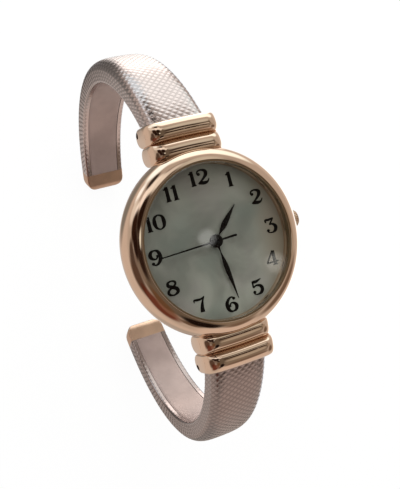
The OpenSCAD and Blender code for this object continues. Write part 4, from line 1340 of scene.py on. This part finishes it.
# The even light that reaches what doesn't mirror the studio
EVEN_LIGHT = (1, 0.995, 0.985)
EVEN_STRENGTH = 0.85
# How far the floor reaches, and its gap under the watch
FLOOR_REACH = 900
FLOOR_GAP = 0.05
# The studio's patches: azimuth, elevation, half width and softness in degrees, and light
STUDIO = (
    (346, -40, 20, 7, (1.6, 1.7, 1.8)),
    (8, -48, 18, 7, (1.42, 1.55, 1.62)),
    (30, -52, 14, 7, (1.2, 1.3, 1.36)),
    (262, -44, 19, 9, (0.5, 0.46, 0.42)),
    (284, 4, 21, 7, (0.74, 0.61, 0.53)),
    (350, 38, 12, 8, (0.38, 0.31, 0.24)),
    (66, -34, 17, 6, (3.0, 2.9, 2.75)),
    (48, 3, 15, 6, (1.45, 1.6, 1.55)),
    (68, 3, 19, 6, (1.7, 1.75, 1.68)),
    (95, -2, 14, 6, (1.4, 1.6, 1.65)),
    (120, 3, 8, 5, (1.3, 1.4, 1.45)),
    (137, 10, 9, 6, (0.9, 0.86, 0.8)),
    (134, 26, 6, 4, (1.1, 1.08, 1.05)),
    (119, 36, 8, 4, (1.2, 1.13, 1.08)),
    (102, 43, 9, 4, (1.12, 1.08, 1.0)),
    (88, 52, 8, 4, (1.0, 0.96, 0.88)),
    (74, 48, 5, 4, (0.85, 0.8, 0.74)),
    (96, -42, 16, 7, (0.22, 0.21, 0.2)),
    (118, -48, 25, 8, (0.26, 0.25, 0.23)),
    (84, -66, 9, 6, (0.42, 0.4, 0.4)),
    (51, 47, 10, 5, (0.68, 0.66, 0.58)),
    (105, 23, 8, 3, (0.05, 0.04, 0.035)),
    (129, 56, 12, 4, (0.02, 0.008, 0.004)),
    (149, 34, 13, 4, (0.03, 0.012, 0.006)),
    (166, 46, 11, 4, (0.02, 0.008, 0.005)),
    (192, 17, 20, 8, (0.11, 0.065, 0.045)),
    (172, 20, 10, 5, (0.09, 0.06, 0.045)),
    (180, 36, 5, 3, (0.22, 0.17, 0.14)),
    (194, 47, 8, 4, (0.24, 0.19, 0.15)),
    (180, 66, 12, 5, (0.03, 0.015, 0.01)),
    (212, 18, 10, 5, (0.1, 0.025, 0.012)),
    (228, 22, 18, 6, (0.16, 0.05, 0.03)),
    (236, 36, 10, 5, (0.24, 0.12, 0.08)),
    (231, 50, 10, 5, (0.15, 0.08, 0.04)),
    (301, 43, 10, 5, (0.26, 0.21, 0.16)),
    (297, 28, 8, 5, (0.2, 0.14, 0.1)),
    (258, 28, 8, 4, (0.15, 0.1, 0.07)),
    (272, 41, 13, 4, (0.012, 0.006, 0.004)),
    (326, 14, 15, 6, (0.18, 0.125, 0.09)),
    (334, 62, 6, 3, (0.3, 0.24, 0.18)),
    (317, 55, 8, 3, (0.48, 0.42, 0.34)),
    (38, 61, 6, 3, (0.06, 0.04, 0.03)),
    (14, 56.5, 5, 2, (0.6, 0.54, 0.46)),
    (19, 65, 4.8, 1.5, (0.55, 0.5, 0.42)),
    (353.5, 66, 9, 2, (0.035, 0.018, 0.01)),
    (151, 72, 3.5, 3, (1.0, 1.02, 0.92)),
    (354.3, 66.2, 0.5, 0.3, (1.8, 1.75, 1.7)),
    (349, 61.6, 0.5, 0.4, (1.8, 1.7, 1.55)),
)


def towards(azimuth, elevation):
    """Direction to a place in the sky, from two angles in radians."""
    return (math.cos(elevation) * math.cos(azimuth), math.cos(elevation) * math.sin(azimuth),
            math.sin(elevation))


def patch(net, facing, azimuth, elevation, width, soft):
    """1 inside a round patch of sky and 0 outside it."""
    way = towards(math.radians(azimuth), math.radians(elevation))
    near = net.add("ShaderNodeVectorMath", {"operation": "DOT_PRODUCT"}, {0: facing, 1: way}, out="Value")
    return near.step(math.cos(math.radians(width + soft)), math.cos(math.radians(max(width - soft, 0))))


def studio(net, facing):
    """Studio seen in the metal: soft boxes, a dim ceiling and the dark side where the camera stands."""
    up = net.axis(facing, "Z")
    sky = net.mix(up.step(-0.97, -0.85), (0.66, 0.61, 0.57), (0.70, 0.60, 0.53))
    sky = net.mix(up.step(-0.25, 0.15), sky, (0.55, 0.48, 0.42))
    sky = net.mix(up.step(0.55, 0.75), sky, (0.15, 0.12, 0.09))
    for azimuth, elevation, width, soft, light in STUDIO:
        sky = net.mix(patch(net, facing, azimuth, elevation, width, soft), sky, light)
    return sky


def rays(net, kind):
    """1 for rays of that kind and 0 for others."""
    return net.add("ShaderNodeLightPath", out=kind)


def floor_finish(net):
    """White where the camera sees it, clear in the metal, and pale paper that keeps a faint shadow."""
    speck = net.noise(net.place(), 0.02, 2)
    tone = net.mix(speck, (0.7, 0.7, 0.7), (0.74, 0.73, 0.72))
    paper = net.add("ShaderNodeBsdfDiffuse", None, {"Color": tone})
    white = net.add("ShaderNodeEmission", None, {"Color": (1, 1, 1), "Strength": 1.02})
    seen = net.blend(rays(net, "Is Camera Ray") * 0.93, paper, white)
    return net.blend(rays(net, "Is Glossy Ray"), seen, net.add("ShaderNodeBsdfTransparent"))


def light_world(scene):
    """The studio for what mirrors it, a plain light for what doesn't, and white behind the watch."""
    scene.world = bpy.data.worlds.new("studio")
    scene.world.use_nodes = True
    net = Net(scene.world.node_tree)

    def sky(colour, strength=1.0):
        return net.add("ShaderNodeBackground", None, {"Color": colour, "Strength": strength})

    mirrored_sky = sky(studio(net, net.add("ShaderNodeTexCoord", out="Generated")))
    lit = net.blend(rays(net, "Is Glossy Ray"), sky(EVEN_LIGHT, EVEN_STRENGTH), mirrored_sky)
    seen = net.blend(rays(net, "Is Camera Ray"), lit, sky((1, 1, 1)))
    net.add("ShaderNodeOutputWorld", None, {"Surface": seen})


def light_lamp(scene):
    """One broad soft box above the +Y side gives the shapes their direction."""
    lamp = bpy.data.lights.new("soft_box", "AREA")
    lamp.size = SOFT_BOX_W * MM
    lamp.energy = SOFT_BOX_POWER
    box = bpy.data.objects.new("soft_box", lamp)
    scene.collection.objects.link(box)
    box.location = Vector(SOFT_BOX) * MM
    box.rotation_euler = (-box.location).to_track_quat("-Z", "Y").to_euler()
    box.visible_glossy = False


def place_camera(scene):
    """Stands the camera where its settings say, turned about its view by the roll."""
    s = settings("stage")
    back = Vector(towards(s.azimuth, s.elevation))
    right = Vector((0, 1, 0)).cross(back).normalized()
    up = back.cross(right)
    c, d = math.cos(s.roll), math.sin(s.roll)
    right, up = right * c + up * d, up * c - right * d
    shift_x, shift_y, height = s.aim
    place = back * s.distance - right * shift_x - up * shift_y + Vector((0, 0, height))
    lens = bpy.data.cameras.new("view")
    lens.lens = s.lens
    lens.sensor_width = 36
    lens.clip_start = 0.001
    camera = bpy.data.objects.new("view", lens)
    scene.collection.objects.link(camera)
    turn = Matrix((right, up, back)).transposed().to_4x4()
    camera.matrix_world = Matrix.Translation(place * MM) @ turn
    scene.camera = camera


class WATCH_OT_stage(bpy.types.Operator):
    """Lay the pale floor, light the studio and set the camera where the photograph was taken"""

    bl_idname = "watch.stage"
    bl_label = "Stage"

    def execute(self, context):
        scene = context.scene
        scene.view_settings.view_transform = "Standard"
        light_world(scene)
        level = CAD_BOX[0][2] / MM - FLOOR_GAP
        corners = [(x * FLOOR_REACH, y * FLOOR_REACH, level) for x, y in ((-1, -1), (1, -1), (1, 1), (-1, 1))]
        floor = make("floor", corners, [(0, 1, 2, 3)], material("pale_floor", floor_finish))
        light_lamp(scene)
        place_camera(scene)
        return {"FINISHED"}


# Panel and registration


class WATCH_PT_panel(bpy.types.Panel):
    bl_label = "Bangle Watch"
    bl_idname = "WATCH_PT_panel"
    bl_space_type = "VIEW_3D"
    bl_region_type = "UI"
    bl_category = "Watch"

    def draw(self, context):
        for name, group in GROUPS.items():
            box = self.layout.box()
            box.label(text=name.capitalize())
            for key in group.__annotations__:
                box.prop(settings(name), key)
        for operator in OPERATORS:
            self.layout.operator(operator.bl_idname)


GROUPS = {
    "case": CaseSettings,
    "dial": DialSettings,
    "hands": HandSettings,
    "crown": CrownSettings,
    "link": LinkSettings,
    "arm": ArmSettings,
    "stage": StageSettings,
}
OPERATORS = (
    WATCH_OT_frame_finishes,
    WATCH_OT_case,
    WATCH_OT_crystal,
    WATCH_OT_dial,
    WATCH_OT_hands,
    WATCH_OT_crown,
    WATCH_OT_links,
    WATCH_OT_arms,
    WATCH_OT_hinges,
    WATCH_OT_stage,
)


def register():
    for kind in (*GROUPS.values(), *OPERATORS, WATCH_PT_panel):
        bpy.utils.register_class(kind)
    for name, group in GROUPS.items():
        setattr(bpy.types.Scene, "watch_" + name, PointerProperty(type=group))


def unregister():
    for name in GROUPS:
        delattr(bpy.types.Scene, "watch_" + name)
    for kind in (WATCH_PT_panel, *OPERATORS, *GROUPS.values()):
        bpy.utils.unregister_class(kind)


def main():
    register()
    for operator in OPERATORS:
        area, name = operator.bl_idname.split(".")
        getattr(getattr(bpy.ops, area), name)()


if __name__ == "__main__":
    main()
